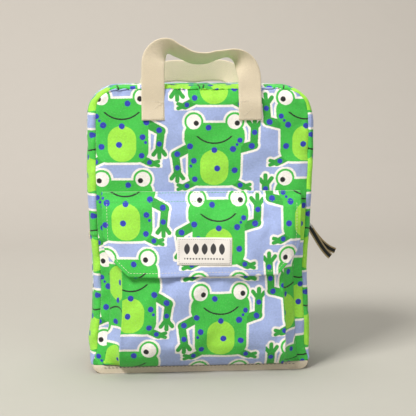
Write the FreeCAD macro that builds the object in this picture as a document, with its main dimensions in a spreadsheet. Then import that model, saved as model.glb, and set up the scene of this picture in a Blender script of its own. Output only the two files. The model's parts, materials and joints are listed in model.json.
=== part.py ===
"""A small child's backpack in printed canvas, standing upright and zipped shut.

+Z is up, -Y is the front and the origin is the centre of the base, on the floor.  Lengths are in
millimetres.  The bag is a box of canvas panels.  Its zip runs up the sides and over the top, and
the part of the front above fold_height folds down when the zip is open.
"""
import FreeCAD, Part
import math
import os
import Sketcher

# Driving dimensions: alias, millimetres, what it measures
SIZES = [
    ("body_width", 246, "outside width of the bag"),
    ("body_height", 316, "outside height of the bag, without handles"),
    ("body_depth", 104, "outside depth of the bag, without pocket and straps"),
    ("top_radius", 32, "outline radius of the top corners"),
    ("foot_radius", 14, "outline radius of the bottom corners"),
    ("edge_radius", 8, "rounding between the gusset and the front and back panels"),
    ("canvas", 1.6, "thickness of the printed and the natural canvas"),
    ("lining", 0.6, "thickness of the lining cloth"),
    ("lining_margin", 8, "how far the linings and foam stay inside the outline"),
    ("foam", 5, "thickness of the back foam"),
    ("board", 2, "thickness of the base stiffener"),
    ("base_rise", 9, "height that the natural base panel turns up the walls"),
    ("fold_height", 212, "height of the line where the opened front folds down"),
    ("cloth_gap", 0.6, "clearance between cloth pieces that move apart"),
    ("zip_offset", 8, "distance of the zip behind the middle of the gusset"),
    ("zip_end_height", 152, "height of the lower ends of the zip"),
    ("zip_window", 12, "width of tape left bare between the gusset edges"),
    ("tape_width", 30, "width of both zip tapes together"),
    ("tape_gap", 3.2, "gap between the two zip tapes under the coil"),
    ("tape", 0.6, "thickness of the zip tape"),
    ("coil_width", 5.6, "width of the closed coil"),
    ("coil_gap", 1.4, "gap in the coil that the slider's neck runs in"),
    ("coil_inset", 0.3, "how far the coil lies below the outside of the canvas"),
    ("end_tab_width", 20, "width of the tabs over the zip ends"),
    ("end_tab_length", 9, "length of the tabs over the zip ends"),
    ("slider_width", 9, "width of the slider plates"),
    ("slider_length", 13, "length of the slider plates"),
    ("slider_plate", 1.2, "thickness of the slider plates"),
    ("slider_clearance", 0.4, "clearance between slider and coil or tape"),
    ("neck", 0.7, "thickness of the slider's neck"),
    ("lug_height", 3.4, "height of the lug that holds the pull"),
    ("lug_width", 2.2, "width of the lug"),
    ("pull_tab_length", 11, "length of the metal pull tab"),
    ("pull_tab_width", 5, "width of the metal pull tab"),
    ("pull_tab", 1.2, "thickness of the metal pull tab"),
    ("ribbon_length", 42, "length of the folded ribbon below the tab"),
    ("ribbon_width", 7, "width of the ribbon at the tab"),
    ("ribbon_spread", 17, "width over both tails at their ends"),
    ("ribbon", 1.6, "thickness of the folded ribbon"),
    ("pocket_width", 182, "width of the pocket front"),
    ("pocket_splay", 14, "how far each pocket gusset spreads to the bag's front"),
    ("pocket_height", 180, "height of the pocket's top edge"),
    ("pocket_foot", 24, "depth of the pocket at its foot"),
    ("pocket_mouth", 8, "depth of the pocket at its mouth"),
    ("binding", 2.8, "thickness and height of the pocket's bound edge"),
    ("patch_width", 60, "width of the hook and loop patches"),
    ("patch_height", 20, "height of the hook and loop patches"),
    ("patch", 1.2, "thickness of each hook and loop patch"),
    ("flap_width", 218, "width of the flap"),
    ("flap_seam_height", 202, "height of the flap's seam"),
    ("flap_foot_height", 110, "height of the flap's lower edge"),
    ("flap_corner", 26, "cut taken off each lower corner of the flap"),
    ("flap_canvas", 1.4, "thickness of the flap's printed canvas"),
    ("label_width", 60, "width of the woven label"),
    ("label_height", 30, "height of the woven label"),
    ("label", 0.8, "thickness of the woven label"),
    ("label_side", 1, "distance of the label's centre right of the middle"),
    ("label_centre_height", 135, "height of the label's centre"),
    ("webbing_width", 25, "width of the handle webbing"),
    ("webbing", 1.6, "thickness of the webbing"),
    ("handle_spacing", 105, "distance between the centres of the handle legs"),
    ("handle_sewn", 30, "length of each handle end sewn to the bag"),
    ("handle_rise", 58, "height of the front handle above its seam"),
    ("handle_leg_rise", 30, "height above the seam where the handle starts to arch"),
    ("handle_lap", 3, "how far the handle's arch reaches down over its legs"),
    ("handle_radius", 22, "outer radius of the handle's arch"),
    ("pivot_rise", 7.6, "height of each handle's turning line above its seam"),
    ("handle_gap", 4.6, "gap between a handle's loop and its sewn ends"),
    ("rear_handle_rise", 39, "height of the rear handle above its seam, folded flat at its corners"),
    ("rear_handle_corner", 10, "cut of the rear handle's folded corners"),
    ("rear_lean", 12, "degrees that the rear handle leans back at rest"),
    ("yoke_width", 176, "width of the yoke over the strap tops"),
    ("yoke_height", 12, "height of the yoke"),
    ("strap_drop", 46, "depth of the padded straps' upper ends below the handle seam"),
    ("strap_spacing", 104, "distance between the strap centres at the yoke"),
    ("strap_splay", 7, "degrees that each strap spreads outwards"),
    ("strap_width", 48, "width of the padded straps"),
    ("strap", 7, "thickness of the padded straps"),
    ("strap_length", 168, "straight length of the padded straps"),
    ("strap_bow", 22, "how far the padded straps arch off the back"),
    ("strap_standoff", 3, "clearance of the strap ends from the back"),
    ("lock_width", 32, "width of the ladder locks"),
    ("lock_height", 22, "height of the ladder locks"),
    ("lock", 4.6, "thickness of the ladder locks"),
    ("lock_slot", 3.2, "width of the slots in the ladder locks"),
    ("lower_webbing_width", 20, "width of the adjusting webbing"),
    ("anchor_height", 30, "height of the canvas anchors at the straps' feet"),
    ("tail_length", 46, "length of the free end below the ladder lock"),
]
SLIDER_CLEAR_OF_TAB = 3      # gap between the parked slider and the zip's end tab
RIBBON_ANGLE = 30            # degrees that the pull stands out from the bag at rest

doc = FreeCAD.newDocument("ChildBackpack")
sheet = doc.addObject("Spreadsheet::Sheet", "Dims")
for row, (alias, value, meaning) in enumerate(SIZES, start=1):
    sheet.set(f"A{row}", alias)
    sheet.set(f"B{row}", str(value))
    sheet.set(f"C{row}", meaning)
    sheet.setAlias(f"B{row}", alias)
doc.recompute()

NODES = []


def size(alias):
    """The number in the sheet."""
    return float(sheet.get(alias))


def expr(text):
    """Turn words of the sheet in text into references to their cells."""
    for alias in sorted((entry[0] for entry in SIZES), key=len, reverse=True):
        text = text.replace(f"<{alias}>", f"Dims.{alias}")
    return text


# Places used by several pieces, as expressions
HALF_WIDTH = "(<body_width> / 2)"
FRONT = "(-<body_depth> / 2)"
BACK = "(<body_depth> / 2)"
FAR = "<body_width> * 4"
FRONT_EDGE = f"({FRONT} + <edge_radius>)"
BACK_EDGE = f"({BACK} - <edge_radius>)"
ZIP_FRONT = "(<zip_offset> - <zip_window> / 2)"
ZIP_REAR = "(<zip_offset> + <zip_window> / 2)"
FOLD_BELOW = "(<fold_height> - <cloth_gap> / 2)"
FOLD_ABOVE = "(<fold_height> + <cloth_gap> / 2)"
SEAM_TOP = "(<body_height> - <edge_radius>)"
STRAP_TOP = f"({SEAM_TOP} - <strap_drop>)"


def keep(obj, label):
    """Name a finished sub-part."""
    obj.Label = label
    NODES.append(obj)
    return obj


def bind(obj, prop, text):
    obj.setExpression(prop, expr(str(text)))


def box(name, x_span, y_span, z_span):
    """A block between two expressions along each axis."""
    block = doc.addObject("Part::Box", name)
    for prop, axis, (low, high) in (("Length", "x", x_span), ("Width", "y", y_span), ("Height", "z", z_span)):
        bind(block, prop, f"({high}) - ({low})")
        bind(block, f"Placement.Base.{axis}", low)
    return block


def combine(kind, name, base, tool):
    """A Part::Cut or Part::Common of two objects."""
    result = doc.addObject(f"Part::{kind}", name)
    result.Base = base
    result.Tool = tool
    return result


def fuse(name, pieces):
    result = doc.addObject("Part::MultiFuse", name)
    result.Shapes = pieces
    return result


def together(name, pieces):
    """Several separate solids in one sub-part."""
    result = doc.addObject("Part::Compound", name)
    result.Links = pieces
    return result


def polygon_sketch(body, plane_role, name, points, offset="0"):
    """A closed polygon on one of the body's own planes, each corner bound to two expressions."""
    sketch = body.newObject("Sketcher::SketchObject", name)
    plane = next(f for f in body.Origin.OriginFeatures if f.Role == plane_role)
    sketch.AttachmentSupport = [(plane, "")]
    sketch.MapMode = "FlatFace"
    bind(sketch, "AttachmentOffset.Base.z", offset)
    count = len(points)
    guess = []
    for x_text, y_text in points:
        bind(sketch, "AttachmentOffset.Base.x", x_text)
        bind(sketch, "AttachmentOffset.Base.y", y_text)
        doc.recompute()
        base = sketch.AttachmentOffset.Base
        guess.append(FreeCAD.Vector(base.x, base.y, 0))
    for axis in ("x", "y"):
        bind(sketch, f"AttachmentOffset.Base.{axis}", "0")
    doc.recompute()
    for index in range(count):
        sketch.addGeometry(Part.LineSegment(guess[index], guess[(index + 1) % count]), False)
    for index in range(count):
        sketch.addConstraint(Sketcher.Constraint("Coincident", index, 2, (index + 1) % count, 1))
    for index, texts in enumerate(points):
        for kind, text, start in zip(("DistanceX", "DistanceY"), texts, (guess[index].x, guess[index].y)):
            place = sketch.addConstraint(Sketcher.Constraint(kind, -1, 1, index, 1, start))
            bind(sketch, f"Constraints[{place}]", text)
    return sketch


def prism(name, plane_role, points, low, high):
    """A polygon padded between two expressions along the plane's normal."""
    body = doc.addObject("PartDesign::Body", name)
    sketch = polygon_sketch(body, plane_role, f"{name}Profile", points, low)
    pad = body.newObject("PartDesign::Pad", f"{name}Pad")
    pad.Profile = sketch
    bind(pad, "Length", f"({high}) - ({low})")
    return body


def side_prism(name, points, x_span):
    """A polygon of (y, z) corners padded along X."""
    return prism(name, "YZ_Plane", points, x_span[0], x_span[1])


def front_prism(name, points, y_span):
    """A polygon of (x, z) corners padded along Y; that plane's normal is -Y."""
    return prism(name, "XZ_Plane", points, f"-({y_span[1]})", f"-({y_span[0]})")


def edge_names(shape, wanted):
    """Names of the edges that pass a test."""
    return [f"Edge{index}" for index, edge in enumerate(shape.Edges, start=1) if wanted(edge)]


def runs_along_y(edge):
    return edge.BoundBox.YLength > 0.5 and edge.BoundBox.XLength + edge.BoundBox.ZLength < 0.01


def round_edges(body, name, wanted, radius):
    """Add a fillet to the edges of the body's last feature that pass a test."""
    base = body.Tip
    fillet = body.newObject("PartDesign::Fillet", name)
    fillet.Base = (base, edge_names(base.Shape, wanted))
    bind(fillet, "Radius", radius)
    doc.recompute()


def outline_block(name, inset, y_span, edge=None):
    """The bag's rounded outline drawn in by inset, between two places along Y."""
    side = f"({HALF_WIDTH} - ({inset}))"
    top = f"(<body_height> - ({inset}))"
    corners = [(f"-{side}", inset), (side, inset), (side, top), (f"-{side}", top)]
    body = front_prism(name, corners, y_span)
    doc.recompute()
    middle = size("body_height") / 2
    round_edges(body, f"{name}Top", lambda e: runs_along_y(e) and e.CenterOfMass.z > middle,
                f"max(<top_radius> - ({inset}); 1)")
    round_edges(body, f"{name}Foot", lambda e: runs_along_y(e) and e.CenterOfMass.z < middle / 4,
                f"max(<foot_radius> - ({inset}); 1)")
    if edge is not None:
        round_edges(body, f"{name}Rounding", lambda e: e.BoundBox.YLength < 0.01, edge)
    return body


# --- The canvas shell of the bag, cut into its panels ---------------------------------------
outside = outline_block("Outside", "0", (FRONT, BACK), "<edge_radius>")
inside = outline_block("Inside", "<canvas>", (f"{FRONT} + <canvas>", f"{BACK} - <canvas>"),
                       "<edge_radius> - <canvas>")
shell = combine("Cut", "Shell", outside, inside)


def shell_piece(label, x_span, y_span, z_span):
    """The part of the canvas shell inside a block."""
    region = box(f"{label}_region", x_span, y_span, z_span)
    return keep(combine("Common", f"{label}_cut", shell, region), label)


EVERY_X = (f"-({FAR})", FAR)
EVERY_Y = (f"-({FAR})", FAR)
shell_piece("base_panel", EVERY_X, EVERY_Y, ("-1", "<base_rise>"))
shell_piece("back_panel", EVERY_X, (BACK_EDGE, FAR), ("<base_rise>", FAR))
shell_piece("front_panel_lower", EVERY_X, (f"-({FAR})", FRONT_EDGE), ("<base_rise>", FOLD_BELOW))
shell_piece("front_panel_upper", EVERY_X, (f"-({FAR})", FRONT_EDGE), (FOLD_ABOVE, FAR))
shell_piece("side_gusset_left", (f"-({FAR})", "0"), (FRONT_EDGE, BACK_EDGE), ("<base_rise>", "<zip_end_height>"))
shell_piece("side_gusset_right", ("0", FAR), (FRONT_EDGE, BACK_EDGE), ("<base_rise>", "<zip_end_height>"))
shell_piece("rear_gusset", EVERY_X, (ZIP_REAR, BACK_EDGE), ("<zip_end_height>", FAR))
shell_piece("front_gusset", EVERY_X, (FRONT_EDGE, ZIP_FRONT), (FOLD_ABOVE, FAR))
shell_piece("front_gusset_ends", EVERY_X, (FRONT_EDGE, ZIP_FRONT), ("<zip_end_height>", FOLD_BELOW))


# --- The zip: two tapes and two halves of coil that follow the outline -----------------------
def outline_strip(label, outer_inset, inner_inset, y_span, z_low, z_high):
    """A thin strip that follows the sides and top of the outline."""
    outer = outline_block(f"{label}_outer", outer_inset, y_span)
    inner = outline_block(f"{label}_inner", inner_inset, y_span)
    ring = combine("Cut", f"{label}_ring", outer, inner)
    region = box(f"{label}_region", EVERY_X, EVERY_Y, (z_low, z_high))
    return keep(combine("Common", f"{label}_cut", ring, region), label)


TAPE_INSETS = ("<canvas>", "<canvas> + <tape>")
COIL_INSETS = ("<coil_inset>", "<canvas>")
TAPE_FRONT = ("<zip_offset> - <tape_width> / 2", "<zip_offset> - <tape_gap> / 2")
TAPE_REAR = ("<zip_offset> + <tape_gap> / 2", "<zip_offset> + <tape_width> / 2")
COIL_FRONT = ("<zip_offset> - <coil_width> / 2", "<zip_offset> - <coil_gap> / 2")
COIL_REAR = ("<zip_offset> + <coil_gap> / 2", "<zip_offset> + <coil_width> / 2")
ZIP_LOW = "<zip_end_height>"
outline_strip("zip_tape_rear", *TAPE_INSETS, TAPE_REAR, ZIP_LOW, FAR)
outline_strip("zip_coil_rear", *COIL_INSETS, COIL_REAR, ZIP_LOW, FAR)
outline_strip("zip_tape_front", *TAPE_INSETS, TAPE_FRONT, FOLD_ABOVE, FAR)
outline_strip("zip_coil_front", *COIL_INSETS, COIL_FRONT, FOLD_ABOVE, FAR)
outline_strip("zip_tape_front_ends", *TAPE_INSETS, TAPE_FRONT, ZIP_LOW, FOLD_BELOW)
outline_strip("zip_coil_front_ends", *COIL_INSETS, COIL_FRONT, ZIP_LOW, FOLD_BELOW)

TAB_Y = ("<zip_offset> - <end_tab_width> / 2", "<zip_offset> + <end_tab_width> / 2")
TAB_Z = ("<zip_end_height> - <end_tab_length>", "<zip_end_height>")
keep(together("end_tabs", [
    box("end_tab_left", (f"-{HALF_WIDTH} - <canvas>", f"-{HALF_WIDTH}"), TAB_Y, TAB_Z),
    box("end_tab_right", (HALF_WIDTH, f"{HALF_WIDTH} + <canvas>"), TAB_Y, TAB_Z),
]), "zip_end_tabs")

# --- The slider, parked at the lower right end, and its pull ---------------------------------
SLIDER_LOW = f"(<zip_end_height> + {SLIDER_CLEAR_OF_TAB})"
SLIDER_HIGH = f"({SLIDER_LOW} + <slider_length>)"
SLIDER_Y = ("<zip_offset> - <slider_width> / 2", "<zip_offset> + <slider_width> / 2")
OUTER_PLATE = f"({HALF_WIDTH} - <coil_inset> + <slider_clearance>)"
INNER_PLATE = f"({HALF_WIDTH} - <canvas> - <tape> - <slider_clearance>)"
LUG_FOOT = f"({OUTER_PLATE} + <slider_plate>)"
LUG_Z = (f"{SLIDER_LOW} + <slider_length> * 0.25", f"{SLIDER_HIGH} - <slider_length> * 0.25")
LUG_Y = ("<zip_offset> - <lug_width> / 2", "<zip_offset> + <lug_width> / 2")
NECK_Y = ("<zip_offset> - <neck> / 2", "<zip_offset> + <neck> / 2")
lug = box("lug_block", (LUG_FOOT, f"{LUG_FOOT} + <lug_height>"), LUG_Y, LUG_Z)
lug_eye = box("lug_eye", (f"{LUG_FOOT} + <lug_height> * 0.15", f"{LUG_FOOT} + <lug_height> * 0.7"),
              EVERY_Y, (f"{LUG_Z[0]} + 1", f"{LUG_Z[1]} - 1"))
keep(fuse("slider", [
    box("outer_plate", (OUTER_PLATE, LUG_FOOT), SLIDER_Y, (SLIDER_LOW, SLIDER_HIGH)),
    box("inner_plate", (f"{INNER_PLATE} - <slider_plate>", INNER_PLATE), SLIDER_Y, (SLIDER_LOW, SLIDER_HIGH)),
    box("slider_neck", (INNER_PLATE, OUTER_PLATE), NECK_Y, (f"{SLIDER_HIGH} - 4", SLIDER_HIGH)),
    combine("Cut", "lug", lug, lug_eye),
]), "slider_body")

pull_y = size("zip_offset")
pull_x = (size("body_width") / 2 - size("coil_inset") + size("slider_clearance") + size("slider_plate")
          + size("lug_height") + size("pull_tab") / 2 + 0.3)
pull_z = size("zip_end_height") + SLIDER_CLEAR_OF_TAB + size("slider_length") / 2


def on_pull_line(shape_object, label):
    """Turn a piece drawn hanging from the origin out to the pull's resting angle."""
    turned = doc.addObject("Part::Feature", f"{label}_hung")
    doc.recompute()
    turned.Shape = shape_object.Shape
    turn = FreeCAD.Rotation(FreeCAD.Vector(0, 1, 0), -RIBBON_ANGLE)
    hung = FreeCAD.Placement(FreeCAD.Vector(pull_x, pull_y, pull_z), turn)
    turned.Placement = hung.multiply(shape_object.Shape.Placement)
    return keep(turned, label)


tab = box("tab_strip", ("-<pull_tab> / 2", "<pull_tab> / 2"), ("-<pull_tab_width> / 2", "<pull_tab_width> / 2"),
          ("-<pull_tab_length>", "0"))
on_pull_line(tab, "pull_tab")
RIBBON_TOP = "(-<pull_tab_length> - 0.2)"
RIBBON_FOOT = f"({RIBBON_TOP} - <ribbon_length>)"
ribbon = front_prism("ribbon_tails", [
    ("-<ribbon_width> / 2", RIBBON_TOP),
    ("-<ribbon_spread> / 2", RIBBON_FOOT),
    ("-<ribbon_spread> / 10", f"{RIBBON_FOOT} - 1"),
    ("0", f"{RIBBON_FOOT} + <ribbon_length> * 0.4"),
    ("<ribbon_spread> / 10", f"{RIBBON_FOOT} + 1"),
    ("<ribbon_spread> / 2", f"{RIBBON_FOOT} + 2"),
    ("<ribbon_width> / 2", RIBBON_TOP),
], ("-<ribbon> / 2", "<ribbon> / 2"))
on_pull_line(ribbon, "pull_ribbon")


# --- Linings, back foam and base board --------------------------------------------------------
def inner_layer(label, y_low, y_high, z_low, z_high):
    """A flat layer that follows the outline inside the shell."""
    layer = outline_block(f"{label}_layer", "<lining_margin> + <canvas>", (y_low, y_high))
    region = box(f"{label}_region", EVERY_X, EVERY_Y, (z_low, z_high))
    return keep(combine("Common", f"{label}_cut", layer, region), label)


BACK_INSIDE = f"({BACK} - <canvas>)"
FRONT_INSIDE = f"({FRONT} + <canvas>)"
inner_layer("back_foam", f"{BACK_INSIDE} - <foam>", BACK_INSIDE, "0", FAR)
inner_layer("back_lining", f"{BACK_INSIDE} - <foam> - <lining>", f"{BACK_INSIDE} - <foam>", "0", FAR)
inner_layer("front_lining_lower", FRONT_INSIDE, f"{FRONT_INSIDE} + <lining>", "0", FOLD_BELOW)
inner_layer("front_lining_upper", FRONT_INSIDE, f"{FRONT_INSIDE} + <lining>", FOLD_ABOVE, FAR)
keep(box("board", (f"-({HALF_WIDTH} - <foot_radius>)", f"{HALF_WIDTH} - <foot_radius>"),
         (f"{FRONT_EDGE} + <canvas>", f"{BACK_EDGE} - <canvas>"), ("<canvas>", "<canvas> + <board>")), "base_board")


# --- The pocket: a bellows, deeper at its foot than at its mouth ------------------------------
def pocket_block(name, inset, z_low):
    """The pocket's outer shape drawn in from the front and the sides."""
    body = doc.addObject("PartDesign::Body", name)
    sketches = []
    for level, (height, depth) in enumerate(((z_low, "<pocket_foot>"), ("<pocket_height>", "<pocket_mouth>"))):
        near = f"{FRONT} - {depth} + {inset}"
        side = f"(<pocket_width> / 2 - {inset} + <pocket_splay> * {inset} / {depth})"
        root = f"(<pocket_width> / 2 - {inset} + <pocket_splay>)"
        corners = [(f"-{root}", FRONT), (f"-{side}", near), (side, near), (root, FRONT)]
        sketches.append(polygon_sketch(body, "XY_Plane", f"{name}Section{level}", corners, height))
    loft = body.newObject("PartDesign::AdditiveLoft", f"{name}Loft")
    loft.Profile = sketches[0]
    loft.Sections = [sketches[1]]
    loft.Ruled = True
    return body


pocket_block_outer = pocket_block("PocketOuter", "0", "<base_rise>")
pocket_hollow = pocket_block("PocketHollow", "<canvas>", "<base_rise> + <canvas>")
pocket_face_region = side_prism("PocketFace", [
    (f"{FRONT} - 2 * <pocket_foot>", "<base_rise>"),
    (f"{FRONT} - <pocket_foot> + <canvas>", "<base_rise>"),
    (f"{FRONT} - <pocket_mouth> + <canvas>", "<pocket_height>"),
    (f"{FRONT} - 2 * <pocket_foot>", "<pocket_height>"),
], EVERY_X)
pocket_rest = combine("Cut", "pocket_rest", pocket_block_outer, pocket_face_region)
keep(combine("Common", "pocket_front_cut", pocket_block_outer, pocket_face_region), "pocket_front")
keep(combine("Cut", "pocket_gusset_cut", pocket_rest, pocket_hollow), "pocket_gusset")
keep(box("pocket_edge", ("-<pocket_width> / 2", "<pocket_width> / 2"),
         (f"{FRONT} - <pocket_mouth> - (<binding> - <canvas>) / 2",
          f"{FRONT} - <pocket_mouth> + (<binding> + <canvas>) / 2"),
         ("<pocket_height>", "<pocket_height> + <binding>")), "pocket_binding")


def pocket_face(height):
    """How far the pocket's face stands out of the front at a height."""
    share = f"((<pocket_height> - ({height})) / (<pocket_height> - <base_rise>))"
    return f"(<pocket_mouth> + (<pocket_foot> - <pocket_mouth>) * {share})"


def on_slope(label, face, layer_low, layer_high, z_span, x_span):
    """A flat layer lying on a sloping face, between two distances in front of it."""
    low, high = z_span
    corners = [
        (f"{FRONT} - {face(low)} - ({layer_low})", low),
        (f"{FRONT} - {face(low)} - ({layer_high})", low),
        (f"{FRONT} - {face(high)} - ({layer_high})", high),
        (f"{FRONT} - {face(high)} - ({layer_low})", high),
    ]
    return side_prism(label, corners, x_span)


PATCH_LOW = "(<flap_foot_height> + <patch_height> / 2)"
PATCH_Z = (PATCH_LOW, f"({PATCH_LOW} + <patch_height>)")
PATCH_X = ("-<patch_width> / 2", "<patch_width> / 2")
keep(on_slope("hook_strip", pocket_face, "0", "<patch>", PATCH_Z, PATCH_X), "hook_patch")

# --- The flap: it leaves the front at its seam, clears the pocket's mouth and hangs -----------
FLAP_SHOULDER = "(<pocket_height> + <binding> + 2)"


def flap_back(height):
    """How far the back of the flap stands out of the front at a height."""
    return f"({pocket_face(height)} + 2 * <patch> + <cloth_gap>)"


def flap_layer(label, layer_low, layer_high):
    """One cloth layer of the flap, bent at the shoulder and cut at its lower corners."""
    low = "<flap_foot_height>"
    corners = [
        (f"{FRONT} - {flap_back(low)} - ({layer_high})", low),
        (f"{FRONT} - {flap_back(low)} - ({layer_low})", low),
        (f"{FRONT} - {flap_back(FLAP_SHOULDER)} - ({layer_low})", FLAP_SHOULDER),
        (f"{FRONT} - <cloth_gap> - ({layer_low})", "<flap_seam_height>"),
        (f"{FRONT} - <cloth_gap> - ({layer_high})", "<flap_seam_height>"),
        (f"{FRONT} - {flap_back(FLAP_SHOULDER)} - ({layer_high})", FLAP_SHOULDER),
    ]
    sheet_body = side_prism(f"{label}_sheet", corners, ("-<flap_width> / 2", "<flap_width> / 2"))
    half = "(<flap_width> / 2)"
    outline = [
        (f"-({half} - <flap_corner>)", low),
        (f"{half} - <flap_corner>", low),
        (half, f"{low} + <flap_corner>"),
        (half, "<flap_seam_height> + 1"),
        (f"-{half}", "<flap_seam_height> + 1"),
        (f"-{half}", f"{low} + <flap_corner>"),
    ]
    cutter = front_prism(f"{label}_outline", outline, (f"-({FAR})", FAR))
    return keep(combine("Common", f"{label}_cut", sheet_body, cutter), label)


flap_layer("flap_lining", "0", "<lining>")
flap_layer("flap_panel", "<lining>", "<lining> + <flap_canvas>")
keep(on_slope("loop_strip", flap_back, "-<patch>", "0", PATCH_Z, PATCH_X), "loop_patch")
LABEL_Z = ("(<label_centre_height> - <label_height> / 2)", "(<label_centre_height> + <label_height> / 2)")
LABEL_X = ("<label_side> - <label_width> / 2", "<label_side> + <label_width> / 2")
keep(on_slope("label_strip", flap_back, "<lining> + <flap_canvas>", "<lining> + <flap_canvas> + <label>",
              LABEL_Z, LABEL_X), "label")


# --- Handles: sewn ends flat on the panel, legs, and an arch whose webbing lies across --------
def handle_leg_span(side):
    return (f"{side} * <handle_spacing> / 2 - <webbing_width> / 2",
            f"{side} * <handle_spacing> / 2 + <webbing_width> / 2")


def handle_ends(label, y_span):
    """The two sewn ends of one handle."""
    ends = [box(f"{label}_{word}", handle_leg_span(side), y_span, (f"{SEAM_TOP} - <handle_sewn>", SEAM_TOP))
            for word, side in (("left", -1), ("right", 1))]
    return keep(together(f"{label}_pair", ends), label)


def arched_handle(name, y_outer):
    """Two legs that face the front and an arch between them whose webbing lies across the bag."""
    leg_z = (f"{SEAM_TOP} + <handle_gap>", f"{SEAM_TOP} + <handle_leg_rise>")
    legs = [box(f"{name}_leg_{word}", handle_leg_span(side), (y_outer, f"{y_outer} + <webbing>"), leg_z)
            for word, side in (("left", -1), ("right", 1))]
    seam = size("body_height") - size("edge_radius")
    foot = seam + size("handle_leg_rise") - size("handle_lap")
    crown = seam + size("handle_rise")

    def arch_block(inset):
        """A block with rounded upper edges, drawn in by inset."""
        half = size("handle_spacing") / 2 + size("webbing") / 2 - inset
        blank = Part.makeBox(2 * half, size("webbing_width"), crown - inset - foot,
                             FreeCAD.Vector(-half, 0, foot))
        upper = [e for e in blank.Edges if e.BoundBox.YLength > 1 and e.CenterOfMass.z > foot + 1]
        return blank.makeFillet(size("handle_radius") - inset, upper)

    arch = doc.addObject("Part::Feature", f"{name}_arch")
    arch.Shape = arch_block(0).cut(arch_block(size("webbing")))
    bind(arch, "Placement.Base.y", y_outer)
    return fuse(name, legs + [arch])


def folded_handle(name, y_inner):
    """A handle folded flat at its corners, all of it facing the front."""
    outer = "(<handle_spacing> / 2 + <webbing_width> / 2)"
    inner = "(<handle_spacing> / 2 - <webbing_width> / 2)"
    foot = f"{SEAM_TOP} + <handle_gap>"
    crown = f"{SEAM_TOP} + <rear_handle_rise>"
    half = [
        (outer, foot),
        (outer, f"{crown} - <rear_handle_corner>"),
        (f"{outer} - <rear_handle_corner>", crown),
    ]
    inside_half = [(inner, f"{crown} - <webbing_width>"), (inner, foot)]
    mirrored = [(f"-({x})", z) for x, z in reversed(half)]
    mirrored_inside = [(f"-({x})", z) for x, z in reversed(inside_half)]
    return front_prism(name, half + mirrored + mirrored_inside + inside_half,
                       (y_inner, f"{y_inner} + <webbing>"))


FRONT_FACE = f"({FRONT} - <webbing>)"
REAR_FACE = f"({BACK} + <webbing>)"
handle_ends("front_handle_ends", (FRONT_FACE, FRONT))
handle_ends("rear_handle_ends", (BACK, REAR_FACE))
keep(arched_handle("front_loop", FRONT_FACE), "handle_front")
rear_upright = folded_handle("rear_loop", BACK)
doc.recompute()
rear_axis = FreeCAD.Vector(0, (size("body_depth") + size("webbing")) / 2,
                           size("body_height") - size("edge_radius") + size("pivot_rise"))
rear = doc.addObject("Part::Feature", "rear_loop_leaning")
rear.Shape = rear_upright.Shape
lean = FreeCAD.Rotation(FreeCAD.Vector(1, 0, 0), -size("rear_lean"))
rear.Placement = FreeCAD.Placement(FreeCAD.Vector(), lean, rear_axis).multiply(rear_upright.Shape.Placement)
keep(rear, "handle_rear")


# --- Shoulder straps: yoke, pads, ladder locks, adjusting webbing and anchors -----------------
strap_top = size("body_height") - size("edge_radius") - size("strap_drop")
keep(box("yoke_band", ("-<yoke_width> / 2", "<yoke_width> / 2"), (BACK, f"{BACK} + <webbing>"),
         (f"{STRAP_TOP} + <cloth_gap>", f"{STRAP_TOP} + <cloth_gap> + <yoke_height>")), "strap_yoke")


def arched_band(width, length, bow, thickness):
    """A padded strap hanging from the origin, arched towards +Y."""
    def arc(offset, rise):
        return Part.Arc(FreeCAD.Vector(0, offset, 0), FreeCAD.Vector(0, offset + rise, -length / 2),
                        FreeCAD.Vector(0, offset, -length)).toShape()
    inner = arc(0, bow)
    outer = arc(thickness, bow)
    caps = [Part.makeLine(FreeCAD.Vector(0, 0, z), FreeCAD.Vector(0, thickness, z)) for z in (0, -length)]
    face = Part.Face(Part.Wire(Part.__sortEdges__([inner, outer] + caps)))
    band = face.extrude(FreeCAD.Vector(width, 0, 0))
    band.translate(FreeCAD.Vector(-width / 2, 0, 0))
    return band


def flat_piece(width, thickness, z_low, z_high, y_low=0.0):
    """A flat piece centred on the strap's line."""
    return Part.makeBox(width, thickness, z_high - z_low, FreeCAD.Vector(-width / 2, y_low, z_low))


def ladder_lock():
    """A frame with two slots, hanging just below the pad."""
    foot = -size("strap_length") - size("cloth_gap") - size("lock_height")
    frame = flat_piece(size("lock_width"), size("lock"), foot, foot + size("lock_height"))
    slot_width = size("lower_webbing_width") + 2 * size("cloth_gap")
    for share in (0.33, 0.67):
        middle = foot + share * size("lock_height")
        slot = Part.makeBox(slot_width, size("lock") * 3, size("lock_slot"),
                            FreeCAD.Vector(-slot_width / 2, -size("lock"), middle - size("lock_slot") / 2))
        frame = frame.cut(slot)
    return frame


def lower_webbing():
    """The run of webbing from the lock down to the anchor, sloping in to the back."""
    top = -size("strap_length") - 2 * size("cloth_gap") - size("lock_height")
    foot = size("anchor_height") - strap_top
    inset = size("strap_standoff") - size("webbing") - size("cloth_gap")
    corners = [(0, top), (size("webbing"), top), (size("webbing") - inset, foot), (-inset, foot)]
    points = [FreeCAD.Vector(0, y, z) for y, z in corners]
    face = Part.Face(Part.makePolygon(points + points[:1]))
    run = face.extrude(FreeCAD.Vector(size("lower_webbing_width"), 0, 0))
    run.translate(FreeCAD.Vector(-size("lower_webbing_width") / 2, 0, 0))
    return run


def webbing_tail():
    """The free end that hangs in front of the lock."""
    top = -size("strap_length") - size("cloth_gap") - size("lock_height") / 2
    return flat_piece(size("lower_webbing_width"), size("webbing"), top - size("tail_length"), top,
                      size("lock") + size("cloth_gap"))


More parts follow.
